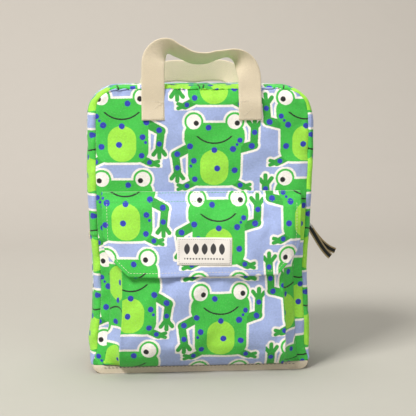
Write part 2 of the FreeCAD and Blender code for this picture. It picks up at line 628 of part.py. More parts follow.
def on_strap_line(shape, side, label):
    """Place a piece drawn hanging from the origin on one strap's line."""
    piece = doc.addObject("Part::Feature", f"{label}_placed")
    piece.Shape = shape
    base = FreeCAD.Vector(side * size("strap_spacing") / 2, size("body_depth") / 2 + size("strap_standoff"),
                          strap_top)
    turn = FreeCAD.Rotation(FreeCAD.Vector(0, 1, 0), -side * size("strap_splay"))
    piece.Placement = FreeCAD.Placement(base, turn).multiply(shape.Placement)
    return keep(piece, label)


for word, side in (("left", -1), ("right", 1)):
    on_strap_line(arched_band(size("strap_width"), size("strap_length"), size("strap_bow"), size("strap")),
                  side, f"strap_pad_{word}")
    on_strap_line(ladder_lock(), side, f"ladder_lock_{word}")
    on_strap_line(lower_webbing(), side, f"lower_webbing_{word}")
    on_strap_line(webbing_tail(), side, f"webbing_tail_{word}")
    reach = size("strap_spacing") / 2 + math.tan(math.radians(size("strap_splay"))) * (
        strap_top - size("anchor_height"))
    middle = f"{side * reach}"
    half_foot = "<lower_webbing_width> * 0.9"
    keep(front_prism(f"anchor_{word}", [
        (f"{middle} - {half_foot}", "<base_rise> + <cloth_gap>"),
        (f"{middle} + {half_foot}", "<base_rise> + <cloth_gap>"),
        (f"{middle} + <lower_webbing_width> / 2", "<anchor_height> - <cloth_gap>"),
        (f"{middle} - <lower_webbing_width> / 2", "<anchor_height> - <cloth_gap>"),
    ], (BACK, f"{BACK} + <webbing>")), f"strap_anchor_{word}")

doc.recompute()
for obj in doc.Objects:
    if "Invalid" in obj.State or "Error" in obj.State:
        raise RuntimeError(f"{obj.Label} failed: {obj.State}")
for node in NODES:
    if node.Shape.isNull() or not node.Shape.isValid() or not node.Shape.Solids:
        raise RuntimeError(f"{node.Label} has no valid solid")
os.makedirs("parts", exist_ok=True)
for node in NODES:
    node.Shape.exportStep(f"parts/{node.Label}.step")
print(f"{len(NODES)} sub-parts written")
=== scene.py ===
"""Looks of a small child's backpack in frog-print canvas, built round its CAD frame.

Everything is in metres in the CAD frame: +Z up, -Y the front, origin under the middle of the base.
The bag's shell is one welded sheet, puckered and settled, then cut into its panels along the seams.
"""
import bpy
import json
import math
import numpy as np
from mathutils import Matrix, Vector


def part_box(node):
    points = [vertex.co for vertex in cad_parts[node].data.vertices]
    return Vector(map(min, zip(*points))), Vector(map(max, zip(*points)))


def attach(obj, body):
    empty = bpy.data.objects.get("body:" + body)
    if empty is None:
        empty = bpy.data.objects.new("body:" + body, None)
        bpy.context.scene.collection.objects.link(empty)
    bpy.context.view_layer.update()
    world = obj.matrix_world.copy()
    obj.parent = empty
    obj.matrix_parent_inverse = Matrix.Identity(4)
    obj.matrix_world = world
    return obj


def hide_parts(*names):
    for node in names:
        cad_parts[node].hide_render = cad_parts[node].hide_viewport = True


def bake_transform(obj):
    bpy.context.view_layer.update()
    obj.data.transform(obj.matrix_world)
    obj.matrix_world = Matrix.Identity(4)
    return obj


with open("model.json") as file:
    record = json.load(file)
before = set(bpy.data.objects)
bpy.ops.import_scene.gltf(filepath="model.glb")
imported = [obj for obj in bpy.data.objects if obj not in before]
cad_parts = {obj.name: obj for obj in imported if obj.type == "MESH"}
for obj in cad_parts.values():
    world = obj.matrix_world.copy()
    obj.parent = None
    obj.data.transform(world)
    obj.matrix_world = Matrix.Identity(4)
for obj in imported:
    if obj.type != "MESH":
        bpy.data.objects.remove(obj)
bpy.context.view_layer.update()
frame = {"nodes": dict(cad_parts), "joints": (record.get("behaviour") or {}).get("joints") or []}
MM = 0.001
X, Y, Z = 0, 1, 2


# ------------------------------------------------------------------ places read from the frame
def low(node, axis):
    """Lowest coordinate of a CAD node along an axis."""
    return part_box(node)[0][axis]


def high(node, axis):
    """Highest coordinate of a CAD node along an axis."""
    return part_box(node)[1][axis]


def middle(node, axis):
    return (low(node, axis) + high(node, axis)) / 2


def joint_place(name):
    """Where a joint's axis passes."""
    return next(j for j in frame["joints"] if j["name"] == name)["pos_m"]


WIDTH = high("side_gusset_right", X) - low("side_gusset_left", X)
HALF = WIDTH / 2
HEIGHT = high("rear_gusset", Z)
FRONT_REACH = abs(low("front_panel_lower", Y))
RIM = high("base_panel", Z)
FOLD = joint_place("front_opens")[Z]
ZIP_FRONT = high("front_gusset", Y)
ZIP_REAR = low("rear_gusset", Y)
ZIP_MIDDLE = (ZIP_FRONT + ZIP_REAR) / 2
ZIP_END = low("rear_gusset", Z)
SEWN_LOW = low("front_handle_ends", Z)
WEBBING_WIDTH = 25 * MM
WEBBING_THICK = 1.7 * MM
LEG_X = high("front_handle_ends", X) - WEBBING_WIDTH / 2
CANVAS = 1.6 * MM
LINING_THICK = 0.6 * MM
TOP_RADIUS = 32 * MM
FOOT_RADIUS = 14 * MM

# ------------------------------------------------------------------ camera, first of all
AZIMUTH = math.radians(-5.0)
ELEVATION = math.radians(6.6)
DISTANCE = 1.2
LENS = 90.6
AIM = (11.5 * MM, 0.0, 177 * MM)


def aim_object(obj, place, target):
    """Put an object at a place, looking at a target."""
    obj.location = place
    obj.rotation_euler = (Vector(target) - Vector(place)).to_track_quat("-Z", "Y").to_euler()


def make_camera():
    data = bpy.data.cameras.new("camera")
    camera = bpy.data.objects.new("camera", data)
    bpy.context.scene.collection.objects.link(camera)
    reach = DISTANCE * math.cos(ELEVATION)
    place = (AIM[0] + reach * math.sin(AZIMUTH), AIM[1] - reach * math.cos(AZIMUTH),
             AIM[2] + DISTANCE * math.sin(ELEVATION))
    aim_object(camera, place, AIM)
    data.lens = LENS
    data.sensor_width = 36
    data.clip_start = 0.05
    bpy.context.scene.camera = camera


make_camera()


# ------------------------------------------------------------------ small numeric helpers
def smooth(value):
    """0 to 1 with soft ends."""
    t = np.clip(value, 0.0, 1.0)
    return t * t * (3 - 2 * t)


def bump_at(value, centre, reach):
    """A smooth hill of height 1."""
    return np.exp(-((value - centre) / reach) ** 2)


def unit(vectors):
    return vectors / np.maximum(np.linalg.norm(vectors, axis=-1, keepdims=True), 1e-12)


def stacked(*parts):
    """Coordinates given apart, as one array of points."""
    return np.stack(np.broadcast_arrays(*parts), -1)


def lengths(points):
    """Distance of each point of a line from its start."""
    return np.concatenate([[0.0], np.cumsum(np.linalg.norm(np.diff(points, axis=0), axis=1))])


def ripple(points, wavelength, seed, waves=14):
    """Soft random relief of about unit height, made of plane waves in random directions."""
    rng = np.random.default_rng(seed)
    total = np.zeros(points.shape[:-1])
    for _ in range(waves):
        direction = unit(rng.normal(size=3))
        pitch = wavelength * rng.uniform(0.7, 1.6)
        total += np.sin(points @ direction * (2 * math.pi / pitch) + rng.uniform(0, 2 * math.pi))
    return total / math.sqrt(waves / 2)


def relief(points, *layers):
    """Soft relief in metres; each layer is a height and a wavelength in millimetres, and a seed."""
    return sum(height * MM * ripple(points, wavelength * MM, seed) for height, wavelength, seed in layers)


def vertex_normals(verts, faces):
    """Unit normals at the vertices of a quad mesh."""
    corners = verts[faces]
    face_normals = np.cross(corners[:, 2] - corners[:, 0], corners[:, 3] - corners[:, 1])
    normals = np.zeros_like(verts)
    for corner in range(faces.shape[1]):
        np.add.at(normals, faces[:, corner], face_normals)
    return unit(normals)


def grid_quads(rows, columns, wrap=False):
    """Quads of a grid whose vertices are numbered row by row; wrap joins last column to first."""
    r, c = np.meshgrid(np.arange(rows - 1), np.arange(columns if wrap else columns - 1), indexing="ij")
    after = (c + 1) % columns
    quads = np.stack([r * columns + c, r * columns + after, (r + 1) * columns + after, (r + 1) * columns + c], -1)
    return quads.reshape(-1, 4)


def capped_tube(rings, sides, first=0):
    """Faces of a closed tube whose vertices are numbered ring by ring, starting at first."""
    last = first + (rings - 1) * sides
    return ((grid_quads(rings, sides, wrap=True) + first).tolist()
            + [list(range(first, first + sides))[::-1], list(range(last, last + sides))])


# ------------------------------------------------------------------ meshes
def mesh_object(name, verts, faces, material, uv=None):
    """A smooth mesh; uv gives each vertex its place on the flat cloth, in metres."""
    mesh = bpy.data.meshes.new(name)
    mesh.from_pydata(np.reshape(verts, (-1, 3)).tolist(), [], [list(map(int, f)) for f in faces])
    mesh.polygons.foreach_set("use_smooth", [True] * len(mesh.polygons))
    if uv is not None:
        layer = mesh.uv_layers.new(name="Cloth")
        loops = np.empty(len(mesh.loops), dtype=np.int32)
        mesh.loops.foreach_get("vertex_index", loops)
        layer.uv.foreach_set("vector", np.reshape(uv, (-1, 2)).astype(np.float32)[loops].ravel())
    mesh.materials.append(material)
    mesh.update()
    obj = bpy.data.objects.new(name, mesh)
    bpy.context.scene.collection.objects.link(obj)
    return obj


def thicken(obj, thickness, offset=-1.0):
    """Give a sheet its thickness; offset -1 grows it inwards from its outer face."""
    solidify = obj.modifiers.new("thickness", "SOLIDIFY")
    solidify.thickness = thickness
    solidify.offset = offset
    solidify.use_even_offset = False
    evaluated = obj.evaluated_get(bpy.context.evaluated_depsgraph_get())
    mesh = bpy.data.meshes.new_from_object(evaluated)
    obj.modifiers.clear()
    obj.data = mesh
    return obj


def sheet(name, points, uv, material, thickness, offset=-1.0, reverse=False):
    """A piece of cloth on a grid of points; reverse turns its outer face round."""
    faces = grid_quads(*points.shape[:2])
    return thicken(mesh_object(name, points, faces[:, ::-1] if reverse else faces, material, uv), thickness, offset)


def sweep(name, centres, across, profile, material):
    """Sweep a closed profile of (across, above) points along centres; above is along x across."""
    tangents = unit(np.gradient(centres, axis=0))
    across = unit(across - tangents * np.sum(across * tangents, axis=1, keepdims=True))
    above = np.cross(across, tangents)
    profile = np.asarray(profile, dtype=float)
    verts = centres[:, None] + across[:, None] * profile[None, :, :1] + above[:, None] * profile[None, :, 1:]
    uv = stacked(profile[None, :, 0], lengths(centres)[:, None])
    return mesh_object(name, verts, capped_tube(*verts.shape[:2]), material, uv)


def band_profile(width, thickness, points=14):
    """Section of a flat woven band with full edges, anticlockwise."""
    half, edge = width / 2, thickness / 2
    xs = np.linspace(-half + edge, half - edge, points)
    right = [(half - edge * 0.3, -edge * 0.6), (half, 0.0), (half - edge * 0.3, edge * 0.6)]
    left = [(-x, -y) for x, y in right]
    return [(x, -edge) for x in xs] + right + [(x, edge) for x in xs[::-1]] + left


def fold_profile(width, thickness):
    """Section of a binding folded over an edge."""
    return [(width / 2 * math.cos(a), thickness / 2 * math.sin(a)) for a in np.linspace(0, 2 * math.pi, 12, False)]


def spline(points, count, steps=24):
    """Evenly spaced points on a Catmull-Rom curve through the given rows of numbers."""
    points = np.asarray(points, dtype=float)
    padded = np.vstack([2 * points[0] - points[1], points, 2 * points[-1] - points[-2]])
    fine = []
    for i in range(1, len(padded) - 2):
        p0, p1, p2, p3 = padded[i - 1:i + 3]
        for t in np.linspace(0, 1, steps, endpoint=False):
            fine.append(0.5 * (2 * p1 + (p2 - p0) * t + (2 * p0 - 5 * p1 + 4 * p2 - p3) * t ** 2
                               + (3 * p1 - p0 - 3 * p2 + p3) * t ** 3))
    fine = np.array(fine + [points[-1]])
    along = lengths(fine[:, :3])
    wanted = np.linspace(0, along[-1], count)
    return stacked(*(np.interp(wanted, along, column) for column in fine.T))


# one stitch: (place along it, thickness, rise), as shares of its length and radius
STITCH_SHAPE = [(-0.5, 0.35, -0.6), (-0.36, 0.9, 0.2), (0.0, 1.0, 0.45), (0.36, 0.9, 0.2), (0.5, 0.35, -0.6)]
STITCH_SIDES = 6


def stitch_row(name, places, normals, material, pitch=3.2 * MM, length=2.3 * MM, radius=0.32 * MM):
    """A row of thread stitches lying on a surface along a line of places."""
    normals = unit(np.broadcast_to(np.asarray(normals, dtype=float), places.shape))
    along = lengths(places)

    def at(values, distance):
        return np.array([np.interp(distance, along, column) for column in values.T])

    ring = [(math.cos(a), math.sin(a)) for a in np.linspace(0, 2 * math.pi, STITCH_SIDES, endpoint=False)]
    verts, faces = [], []
    for start in np.arange(pitch * 0.5, along[-1] - pitch * 0.5, pitch):
        centre, normal = at(places, start), unit(at(normals, start))
        direction = unit(at(places, start + length / 2) - centre)
        sideways = np.cross(normal, direction)
        faces += capped_tube(len(STITCH_SHAPE), STITCH_SIDES, len(verts))
        for step, scale, rise in STITCH_SHAPE:
            core = centre + direction * step * length + normal * radius * rise
            verts += [core + (sideways * u + normal * v * 0.8) * radius * scale for u, v in ring]
    return mesh_object(name, verts, faces, material)


# ------------------------------------------------------------------ shader arithmetic
def add_node(tree, kind, inputs=(), **settings):
    """A shader node; each input is a number, a tuple, a socket, a Field or a Plane."""
    node = tree.nodes.new("ShaderNode" + kind)
    for key, value in settings.items():
        setattr(node, key, value)
    for key, value in dict(inputs).items():
        value = getattr(value, "socket", value)
        if isinstance(value, bpy.types.NodeSocket):
            tree.links.new(value, node.inputs[key])
        else:
            node.inputs[key].default_value = value
    return node


class Field:
    """A number that shader nodes work out at every point, written as ordinary arithmetic."""

    def __init__(self, tree, socket):
        self.tree = tree
        self.socket = socket

    def maths(self, operation, *others, clamp=False):
        node = add_node(self.tree, "Math", enumerate((self,) + others), operation=operation, use_clamp=clamp)
        return Field(self.tree, node.outputs[0])

    def __add__(self, other):
        return self.maths("ADD", other)

    def __sub__(self, other):
        return self.maths("SUBTRACT", other)

    def __mul__(self, other):
        return self.maths("MULTIPLY", other)

    def below(self, other):
        return self.maths("MINIMUM", other)

    def above(self, other):
        return self.maths("MAXIMUM", other)

    def inside(self, softness):
        """1 where the distance is below zero, 0 outside, with a soft edge."""
        return self.maths("MULTIPLY", -1.0 / softness).maths("ADD", 0.5, clamp=True)

    def ribs(self, pitch):
        """Rounded ribs, 0 to 1, at every pitch."""
        return (self * (math.pi / pitch)).maths("SINE").maths("ABSOLUTE")


class Plane:
    """A point of the flat cloth in millimetres, with distances to drawn shapes."""

    def __init__(self, tree, socket):
        self.tree = tree
        self.socket = socket

    def vector(self, operation, other=None, scale=None):
        inputs = {0: self}
        if other is not None:
            inputs[1] = other if isinstance(other, Plane) else (other[0], other[1], 0.0)
        if scale is not None:
            inputs["Scale"] = scale
        node = add_node(self.tree, "VectorMath", inputs, operation=operation)
        if operation in ("DISTANCE", "LENGTH", "DOT_PRODUCT"):
            return Field(self.tree, node.outputs["Value"])
        return Plane(self.tree, node.outputs["Vector"])

    def split(self):
        node = add_node(self.tree, "SeparateXYZ", {0: self})
        return Field(self.tree, node.outputs[0]), Field(self.tree, node.outputs[1])

    def disc(self, x, y, radius):
        return self.vector("DISTANCE", (x, y)) - radius

    def slab(self, x, y, half_wide, half_tall, radius):
        """Distance to a rectangle with rounded corners."""
        folded = self.vector("SUBTRACT", (x, y)).vector("ABSOLUTE")
        outside = folded.vector("SUBTRACT", (half_wide - radius, half_tall - radius)).vector("MAXIMUM", (0, 0))
        return outside.vector("LENGTH") - radius

    def limb(self, start, end, radius):
        """Distance to a thick line."""
        run = (end[0] - start[0], end[1] - start[1])
        offset = self.vector("SUBTRACT", start)
        share = offset.vector("DOT_PRODUCT", run).maths("MULTIPLY", 1 / (run[0] ** 2 + run[1] ** 2), clamp=True)
        return offset.vector("DISTANCE", join(self.tree, *run).vector("SCALE", scale=share)) - radius


def join(tree, x, y):
    """A Plane from two Fields or numbers."""
    return Plane(tree, add_node(tree, "CombineXYZ", {0: x, 1: y}).outputs[0])


def nearest(fields):
    """Union of several shapes."""
    total = fields[0]
    for field in fields[1:]:
        total = total.below(field)
    return total


def blend_colours(tree, factor, under, over):
    """over where factor is 1; each colour is a tuple or a socket."""
    return add_node(tree, "Mix", {"Factor": factor, 6: under, 7: over}, data_type="RGBA").outputs[2]


def linear(red, green, blue):
    """A screen colour of 0 to 255 as linear light, opaque."""
    shares = [value / 255 for value in (red, green, blue)]
    return tuple(s / 12.92 if s <= 0.04045 else ((s + 0.055) / 1.055) ** 2.4 for s in shares) + (1.0,)


# ------------------------------------------------------------------ materials
def new_material(name, roughness, sheen=0.0):
    material = bpy.data.materials.new(name)
    material.use_nodes = True
    tree = material.node_tree
    shader = tree.nodes["Principled BSDF"]
    shader.inputs["Roughness"].default_value = roughness
    shader.inputs["Sheen Weight"].default_value = sheen
    shader.inputs["Sheen Roughness"].default_value = 0.5
    return material, tree, shader


def cloth_plane(tree):
    """The flat cloth's coordinates, in millimetres."""
    return Plane(tree, add_node(tree, "UVMap", uv_map="Cloth").outputs[0]).vector("SCALE", scale=1000.0)


def noise(tree, scale, detail=2.0, vector=None, roughness=0.6):
    """A noise field; without a vector it uses the object's own coordinates, in metres."""
    vector = vector or add_node(tree, "TexCoord").outputs["Object"]
    inputs = {"Scale": scale, "Detail": detail, "Roughness": roughness, "Vector": vector}
    return Field(tree, add_node(tree, "TexNoise", inputs).outputs["Fac"])


def weave_height(plane, pitch):
    """Over-and-under relief of a plain weave: warp and weft crowns alternate."""
    u, v = plane.split()
    turn = math.pi / pitch
    swap = (u * turn).maths("COSINE") * (v * turn).maths("COSINE")
    return u.ribs(pitch) * (swap * 0.5 + 0.5) + v.ribs(pitch) * (swap * -0.5 + 0.5)


def tint(tree, colour, *changes):
    """Darken and lighten a colour by fields around one half, each with its depth."""
    for amount, depth in changes:
        value = amount * (2 * depth) + (1 - depth)
        colour = add_node(tree, "HueSaturation", {"Value": value, "Color": colour}).outputs[0]
    return colour


def finish(tree, shader, colour, height, strength, distance):
    """Give a shader its colour and its relief."""
    tree.links.new(colour, shader.inputs["Base Color"])
    bump = add_node(tree, "Bump", {"Strength": strength, "Distance": distance, "Height": height})
    tree.links.new(bump.outputs[0], shader.inputs["Normal"])


def woven_material(name, colour, pitch, roughness=0.85, speckle=0.12):
    """Plain cloth: weave relief, thread speckle and a slow drift of tone, with painted shade: the weave's hollows are
    painted darker and its crowns lighter.
    """
    material, tree, shader = new_material(name, roughness, 0.15)
    height = weave_height(cloth_plane(tree), pitch)
    grain = noise(tree, 900 / pitch, 3.0)
    drift = noise(tree, 14)
    # painted shade: the weave's height darkens the colour in its hollows and lightens it on its crowns
    colour = tint(tree, colour, (grain, speckle), (height, speckle * 0.6), (drift, 0.05))
    finish(tree, shader, colour, height + grain * 0.5, 0.35, pitch * 0.25 * MM)
    return material


PERIWINKLE = linear(160, 176, 222)
GREEN = linear(62, 188, 68)
DEEP_GREEN = linear(46, 160, 56)
LIME = linear(156, 226, 66)
COBALT = linear(40, 56, 176)
CREAM = linear(246, 240, 234)
INK = linear(24, 22, 24)

# the print's repeat, in millimetres of cloth
REPEAT_WIDE = 100.0
REPEAT_TALL = 88.0
STAGGER = 26.0
FROG_X, FROG_Z = 14.0, 246.0
FROG_SHRINK = 0.945
PRINT_EDGE = 0.6
OUTLINE = 2.3

# the frog's thick lines, (start, end, radius), and its dots, (x, y, radius)
ELBOW, WRIST, RAISED_ELBOW, RAISED_WRIST = (-40, -4), (-38, -20), (40, 6), (41, 22)
HEEL_LEFT, HEEL_RIGHT = (-30, -37), (30, -37)
ARMS = [((-25, 4), ELBOW, 4.6), (ELBOW, WRIST, 4.0), ((25, 2), RAISED_ELBOW, 4.6), (RAISED_ELBOW, RAISED_WRIST, 4.0)]
ARMS += [(WRIST, tip, 2.2) for tip in ((-44, -28), (-38, -31), (-32, -28))]
ARMS += [(RAISED_WRIST, tip, 2.2) for tip in ((35, 30), (41.5, 33), (47, 29))]
FEET = [((-20, -32), HEEL_LEFT, 3.8), ((20, -32), HEEL_RIGHT, 3.8)]
FEET += [(HEEL_LEFT, (-37, y), 2.0) for y in (-35, -39.4)] + [(HEEL_RIGHT, (37, y), 2.0) for y in (-35, -39.4)]
DOTS = [
    (-6, 24, 3.0), (26, 11, 2.7), (-25, 5, 3.1), (19, 2, 3.2), (23, 6.6, 1.5), (-21, -10, 3.0), (-24, -15.5, 1.6),
    (0, 1, 3.0), (3, -18, 3.1), (21, -20, 3.1), (-20, -29, 2.9), (-38, -3, 3.0), (-38, -17, 2.7),
    (38, 5, 3.1), (41, 19, 2.7), (-28, -36, 2.5), (27, -35.5, 2.6)]


def frog_cell(tree, plane):
    """Coordinates inside one repeat, centred on its frog; odd columns are mirrored and shifted."""
    u, v = plane.split()
    column = ((u - FROG_X) * (1 / REPEAT_WIDE) + 0.5).maths("FLOOR")
    odd = column.maths("FLOORED_MODULO", 2.0)
    local_u = u - FROG_X - column * REPEAT_WIDE
    shifted = v - FROG_Z - odd * STAGGER
    row = (shifted * (1 / REPEAT_TALL) + 0.5).maths("FLOOR")
    local_v = shifted - row * REPEAT_TALL
    return join(tree, local_u * (odd * -2.0 + 1.0) * FROG_SHRINK, local_v * FROG_SHRINK)


def frog_colour(tree, plane):
    """A round cartoon frog of plain shapes: cream outline, lime belly, cobalt dots."""
    p = frog_cell(tree, plane)

    def discs(rows):
        return nearest([p.disc(*row) for row in rows])

    limbs = nearest([p.limb(*row) for row in ARMS + FEET])
    torso = nearest([p.slab(0, 15, 31, 14, 12), p.slab(0, -7, 27, 29, 12), discs([(-21, 30, 9.8), (21, 30, 9.8)])])
    lip = p.disc(0, 33, 25).maths("ABSOLUTE") - 0.75
    mouth = lip.above(p.split()[1] - 15.5)
    colour = PERIWINKLE
    for shape, ink in (
            (torso.below(limbs) - OUTLINE, CREAM), (limbs, DEEP_GREEN), (torso, GREEN),
            (p.slab(0, -17, 14.5, 18, 13.5), LIME), (discs([(-21, 30, 7.6), (21, 30, 7.6)]), CREAM),
            (discs(DOTS), COBALT), (mouth, INK), (discs([(-18.5, 28.5, 2.7), (23.5, 28.5, 2.7)]), INK)):
        colour = blend_colours(tree, shape.inside(PRINT_EDGE), colour, ink)
    return colour


def print_material():
    """Cotton canvas, printed on its outer face, with the thread's own speckle through the ink and painted shade in
    the weave's hollows.
    """
    material, tree, shader = new_material("printed_canvas", 0.82, 0.12)
    plane = cloth_plane(tree)
    wobble = noise(tree, 0.55, 1.0, plane) * 0.8
    u, v = plane.split()
    colour = frog_colour(tree, join(tree, u + wobble, v + wobble))
    height = weave_height(plane, 0.95)
    grain = noise(tree, 1.1, 3.0, plane, 0.8)
    mottle = noise(tree, 0.42, 4.0, plane, 0.85)
    slub = noise(tree, 0.16, 3.0, plane)
    crease = noise(tree, 0.034, 2.0, plane, 0.5)
    fleck = (noise(tree, 0.85, 2.0, plane, 0.7) - 0.62) * 5.0
    colour = blend_colours(tree, fleck.maths("MULTIPLY", 0.5, clamp=True), colour, linear(226, 226, 226))
    # painted shade: the weave's height (depth 0.08) darkens the colour in its hollows and lightens it on its crowns
    colour = tint(tree, colour, (grain, 0.26), (mottle, 0.34), (height, 0.08), (slub, 0.08))
    finish(tree, shader, colour, height + grain * 0.9 + slub * 0.8 + crease * 7.0, 0.5, 0.22 * MM)
    return material


def webbing_material():
    """Heavy cotton webbing: chevron ribs along the band and loose fibres, with painted shade darkening the colour
    between the ribs.
    """
    material, tree, shader = new_material("cotton_webbing", 0.9, 0.25)
    plane = cloth_plane(tree)
    u, v = plane.split()
    slant = (u.maths("ABSOLUTE") * 0.9 + v) * (math.pi / 0.95)
    twill = slant.maths("SINE") * 0.5 + 0.5
    height = twill * 0.6 + u.ribs(0.8) * 0.4
    grain = noise(tree, 0.7, 4.0, plane, 0.85)
    drift = noise(tree, 0.06, 2.0, plane)
    # painted shade: the ribs' height darkens the colour between them and lightens it on their crowns
    colour = tint(tree, linear(214, 200, 174), (grain, 0.42), (height, 0.12), (drift, 0.05))
    finish(tree, shader, colour, height + grain * 0.7, 0.65, 0.35 * MM)
    return material


def ribbon_material():
    """Narrow tape with a black stripe down its middle, ribbed across."""
    material, tree, shader = new_material("pull_ribbon", 0.75, 0.2)
    plane = cloth_plane(tree)
    u, v = plane.split()
    stripe = (u.maths("ABSOLUTE") - 1.9).inside(0.3)
    grain = noise(tree, 1.6, 2.0, plane)
    colour = blend_colours(tree, stripe, linear(176, 152, 112), linear(18, 17, 18))
    finish(tree, shader, tint(tree, colour, (grain, 0.16)), v.ribs(0.5) + grain * 0.6, 0.6, 0.2 * MM)
    return material


def label_material():
    """Satin-woven label: a dark leaf motif and a row of short bars on a cream ground."""
    material, tree, shader = new_material("label_cloth", 0.62, 0.2)
    plane = cloth_plane(tree)
    u, v = plane.split()
    leaves = nearest([
        plane.disc(x - 4.2, 2.5, 7.4).above(plane.disc(x + 4.2, 2.5, 7.4)) for x in (-19.0, -9.5, 0.0, 9.5, 19.0)])
    dashes = (u * (math.pi / 1.6)).maths("SINE") * -1.0
    motif = leaves.below(plane.slab(0, -8.0, 22, 0.8, 0.3).above(dashes))
    grain = noise(tree, 1.8, 2.0, plane)
    colour = blend_colours(tree, motif.inside(0.4), linear(233, 227, 220), linear(52, 50, 52))
    finish(tree, shader, tint(tree, colour, (grain, 0.06)), v.ribs(0.35) + grain * 0.5, 0.35, 0.12 * MM)
    return material


def plain_material(name, colour, roughness, grain_scale, bumps, metallic=0.0):
    """Moulded, cast or foamed surfaces with their own fine grain and uneven gloss."""
    material, tree, shader = new_material(name, roughness)
    shader.inputs["Metallic"].default_value = metallic
    grain, broad = noise(tree, grain_scale, 3.0), noise(tree, 60)
    finish(tree, shader, tint(tree, colour, (grain, 0.07), (broad, 0.06)), grain, bumps, 0.1 * MM)
    tree.links.new((grain * 0.2 + (roughness - 0.1)).socket, shader.inputs["Roughness"])
    return material


PRINT = print_material()
NATURAL = woven_material("natural_canvas", linear(204, 190, 168), 1.0, speckle=0.24)
WEBBING = webbing_material()
LINING = woven_material("lining_cloth", linear(222, 216, 202), 0.6, speckle=0.06)
TAPE = woven_material("zip_tape", linear(206, 190, 162), 0.6, roughness=0.7)
COIL = plain_material("zip_coil", linear(34, 32, 32), 0.35, 4000, 0.1)
METAL = plain_material("slider_metal", linear(188, 188, 190), 0.34, 3000, 0.2, metallic=1.0)
RIBBON = ribbon_material()
LABEL = label_material()
HOOKS = plain_material("hook_tape", linear(222, 216, 200), 0.7, 2600, 1.0)
LOOPS = plain_material("loop_tape", linear(226, 220, 205), 0.95, 1500, 1.0)
FOAM = plain_material("back_foam", linear(214, 214, 208), 0.9, 1800, 0.8)
BOARD = plain_material("stiffener", linear(70, 70, 72), 0.55, 900, 0.3)
LOCK = plain_material("lock_plastic", linear(222, 206, 178), 0.42, 2200, 0.25)
THREAD_GREEN = woven_material("thread_green", linear(96, 196, 96), 0.4)
THREAD_PALE = woven_material("thread_pale", linear(236, 226, 208), 0.4)
THREAD_GREY = woven_material("thread_grey", linear(120, 116, 112), 0.4)

# ------------------------------------------------------------------ the bag's form
EDGE_DROP = 2.6 * MM
EDGE_REACH = 42 * MM
SEAM_INSET = 8 * MM
SEAM_Y = FRONT_REACH - EDGE_DROP
ROUND_REACH = 13 * MM
SIDE_SWELL = 1.2 * MM
FLOOR_GAP = 0.2 * MM
FLAP_HINGE = joint_place("flap_lifts")[Z]
# where the sides are drawn in (or pushed out): millimetres in, height, reach
PINCH_LEFT = [(4.0, 92, 55), (-2.0, 32, 22)]
PINCH_RIGHT = [(3.2, 105, 50), (-2.2, 258, 40)]


def outline(x, z):
    """Depth inside the bag's outline, and the outward direction in the plane of the front."""
    radius = np.where(z > HEIGHT / 2, TOP_RADIUS, FOOT_RADIUS)
    over_x = np.abs(x) - (HALF - radius)
    over_z = np.abs(z - HEIGHT / 2) - (HEIGHT / 2 - radius)
    corner_x, corner_z = np.maximum(over_x, 0), np.maximum(over_z, 0)
    reach = np.hypot(corner_x, corner_z)
    depth = radius - reach - np.minimum(np.maximum(over_x, over_z), 0)
    normal_x = np.where(reach > 1e-9, corner_x / np.maximum(reach, 1e-9), over_x > over_z)
    normal_z = np.where(reach > 1e-9, corner_z / np.maximum(reach, 1e-9), over_x <= over_z)
    return depth, normal_x * np.sign(x), normal_z * np.sign(z - HEIGHT / 2)


def half_width(z):
    """Half the bag's width at each height."""
    over = np.maximum(z - (HEIGHT - TOP_RADIUS), 0)
    under = np.maximum(FOOT_RADIUS - z, 0)
    top_loss = TOP_RADIUS - np.sqrt(np.maximum(TOP_RADIUS ** 2 - over ** 2, 0))
    foot_loss = FOOT_RADIUS - np.sqrt(np.maximum(FOOT_RADIUS ** 2 - under ** 2, 0))
    return HALF - top_loss - foot_loss


def pinch(rows, z):
    return sum(amount * MM * bump_at(z, centre * MM, reach * MM) for amount, centre, reach in rows)


def settle(points):
    """The slump of a soft, lightly filled bag. Whatever is sewn to the bag goes through it too."""
    p = np.array(points, dtype=float)
    x, y, z = (p[..., axis].copy() for axis in (X, Y, Z))
    above_floor = smooth((z - 2 * MM) / (24 * MM))
    p[..., X] += smooth(-x / HALF) * pinch(PINCH_LEFT, z) - smooth(x / HALF) * pinch(PINCH_RIGHT, z)
    front = smooth((-y - 14 * MM) / (26 * MM))
    back = smooth((y - 14 * MM) / (26 * MM))
    depth, _, _ = outline(np.clip(x, -HALF, HALF), np.clip(z, 0, HEIGHT))
    crown = smooth(depth / (70 * MM))
    free = smooth(depth / (18 * MM)) * above_floor
    face = stacked(x, 0 * x, z)
    held = 1 - 0.88 * bump_at(z, FLAP_HINGE, 15 * MM)
    p[..., Y] -= front * held * (3.2 * MM * crown + free * relief(face, (1.3, 95, 3), (0.62, 34, 4)))
    p[..., Y] += back * (1.5 * MM * crown + free * relief(face, (0.9, 90, 5)))
    outer = smooth((np.abs(x) - 96 * MM) / (26 * MM)) * (1 - np.maximum(front, back) * 0.7)
    outer *= 1 - 0.94 * bump_at(y, ZIP_MIDDLE, 17 * MM)
    p[..., X] += np.sign(x) * outer * above_floor * relief(stacked(0 * x, y, z), (1.3, 80, 6), (0.5, 34, 7))
    top = smooth((z - 292 * MM) / (24 * MM)) * (1 - smooth((z - 330 * MM) / (20 * MM)))
    sag = 2.4 * MM * (1 - (x / HALF) ** 2) - 0.6 * MM
    p[..., Z] += top * (sag + relief(stacked(x, y, 0 * x), (0.8, 85, 8)))
    return p


def seam_inset(x, z, normal_z):
    """How far the seam round the front lies inside the outline: least along the top, none at the foot."""
    over = 1 - 0.5 * smooth(normal_z)
    lean = 1 - 0.2 * smooth(x / HALF)
    return SEAM_INSET * over * lean * smooth((z - 2 * MM) / (30 * MM))


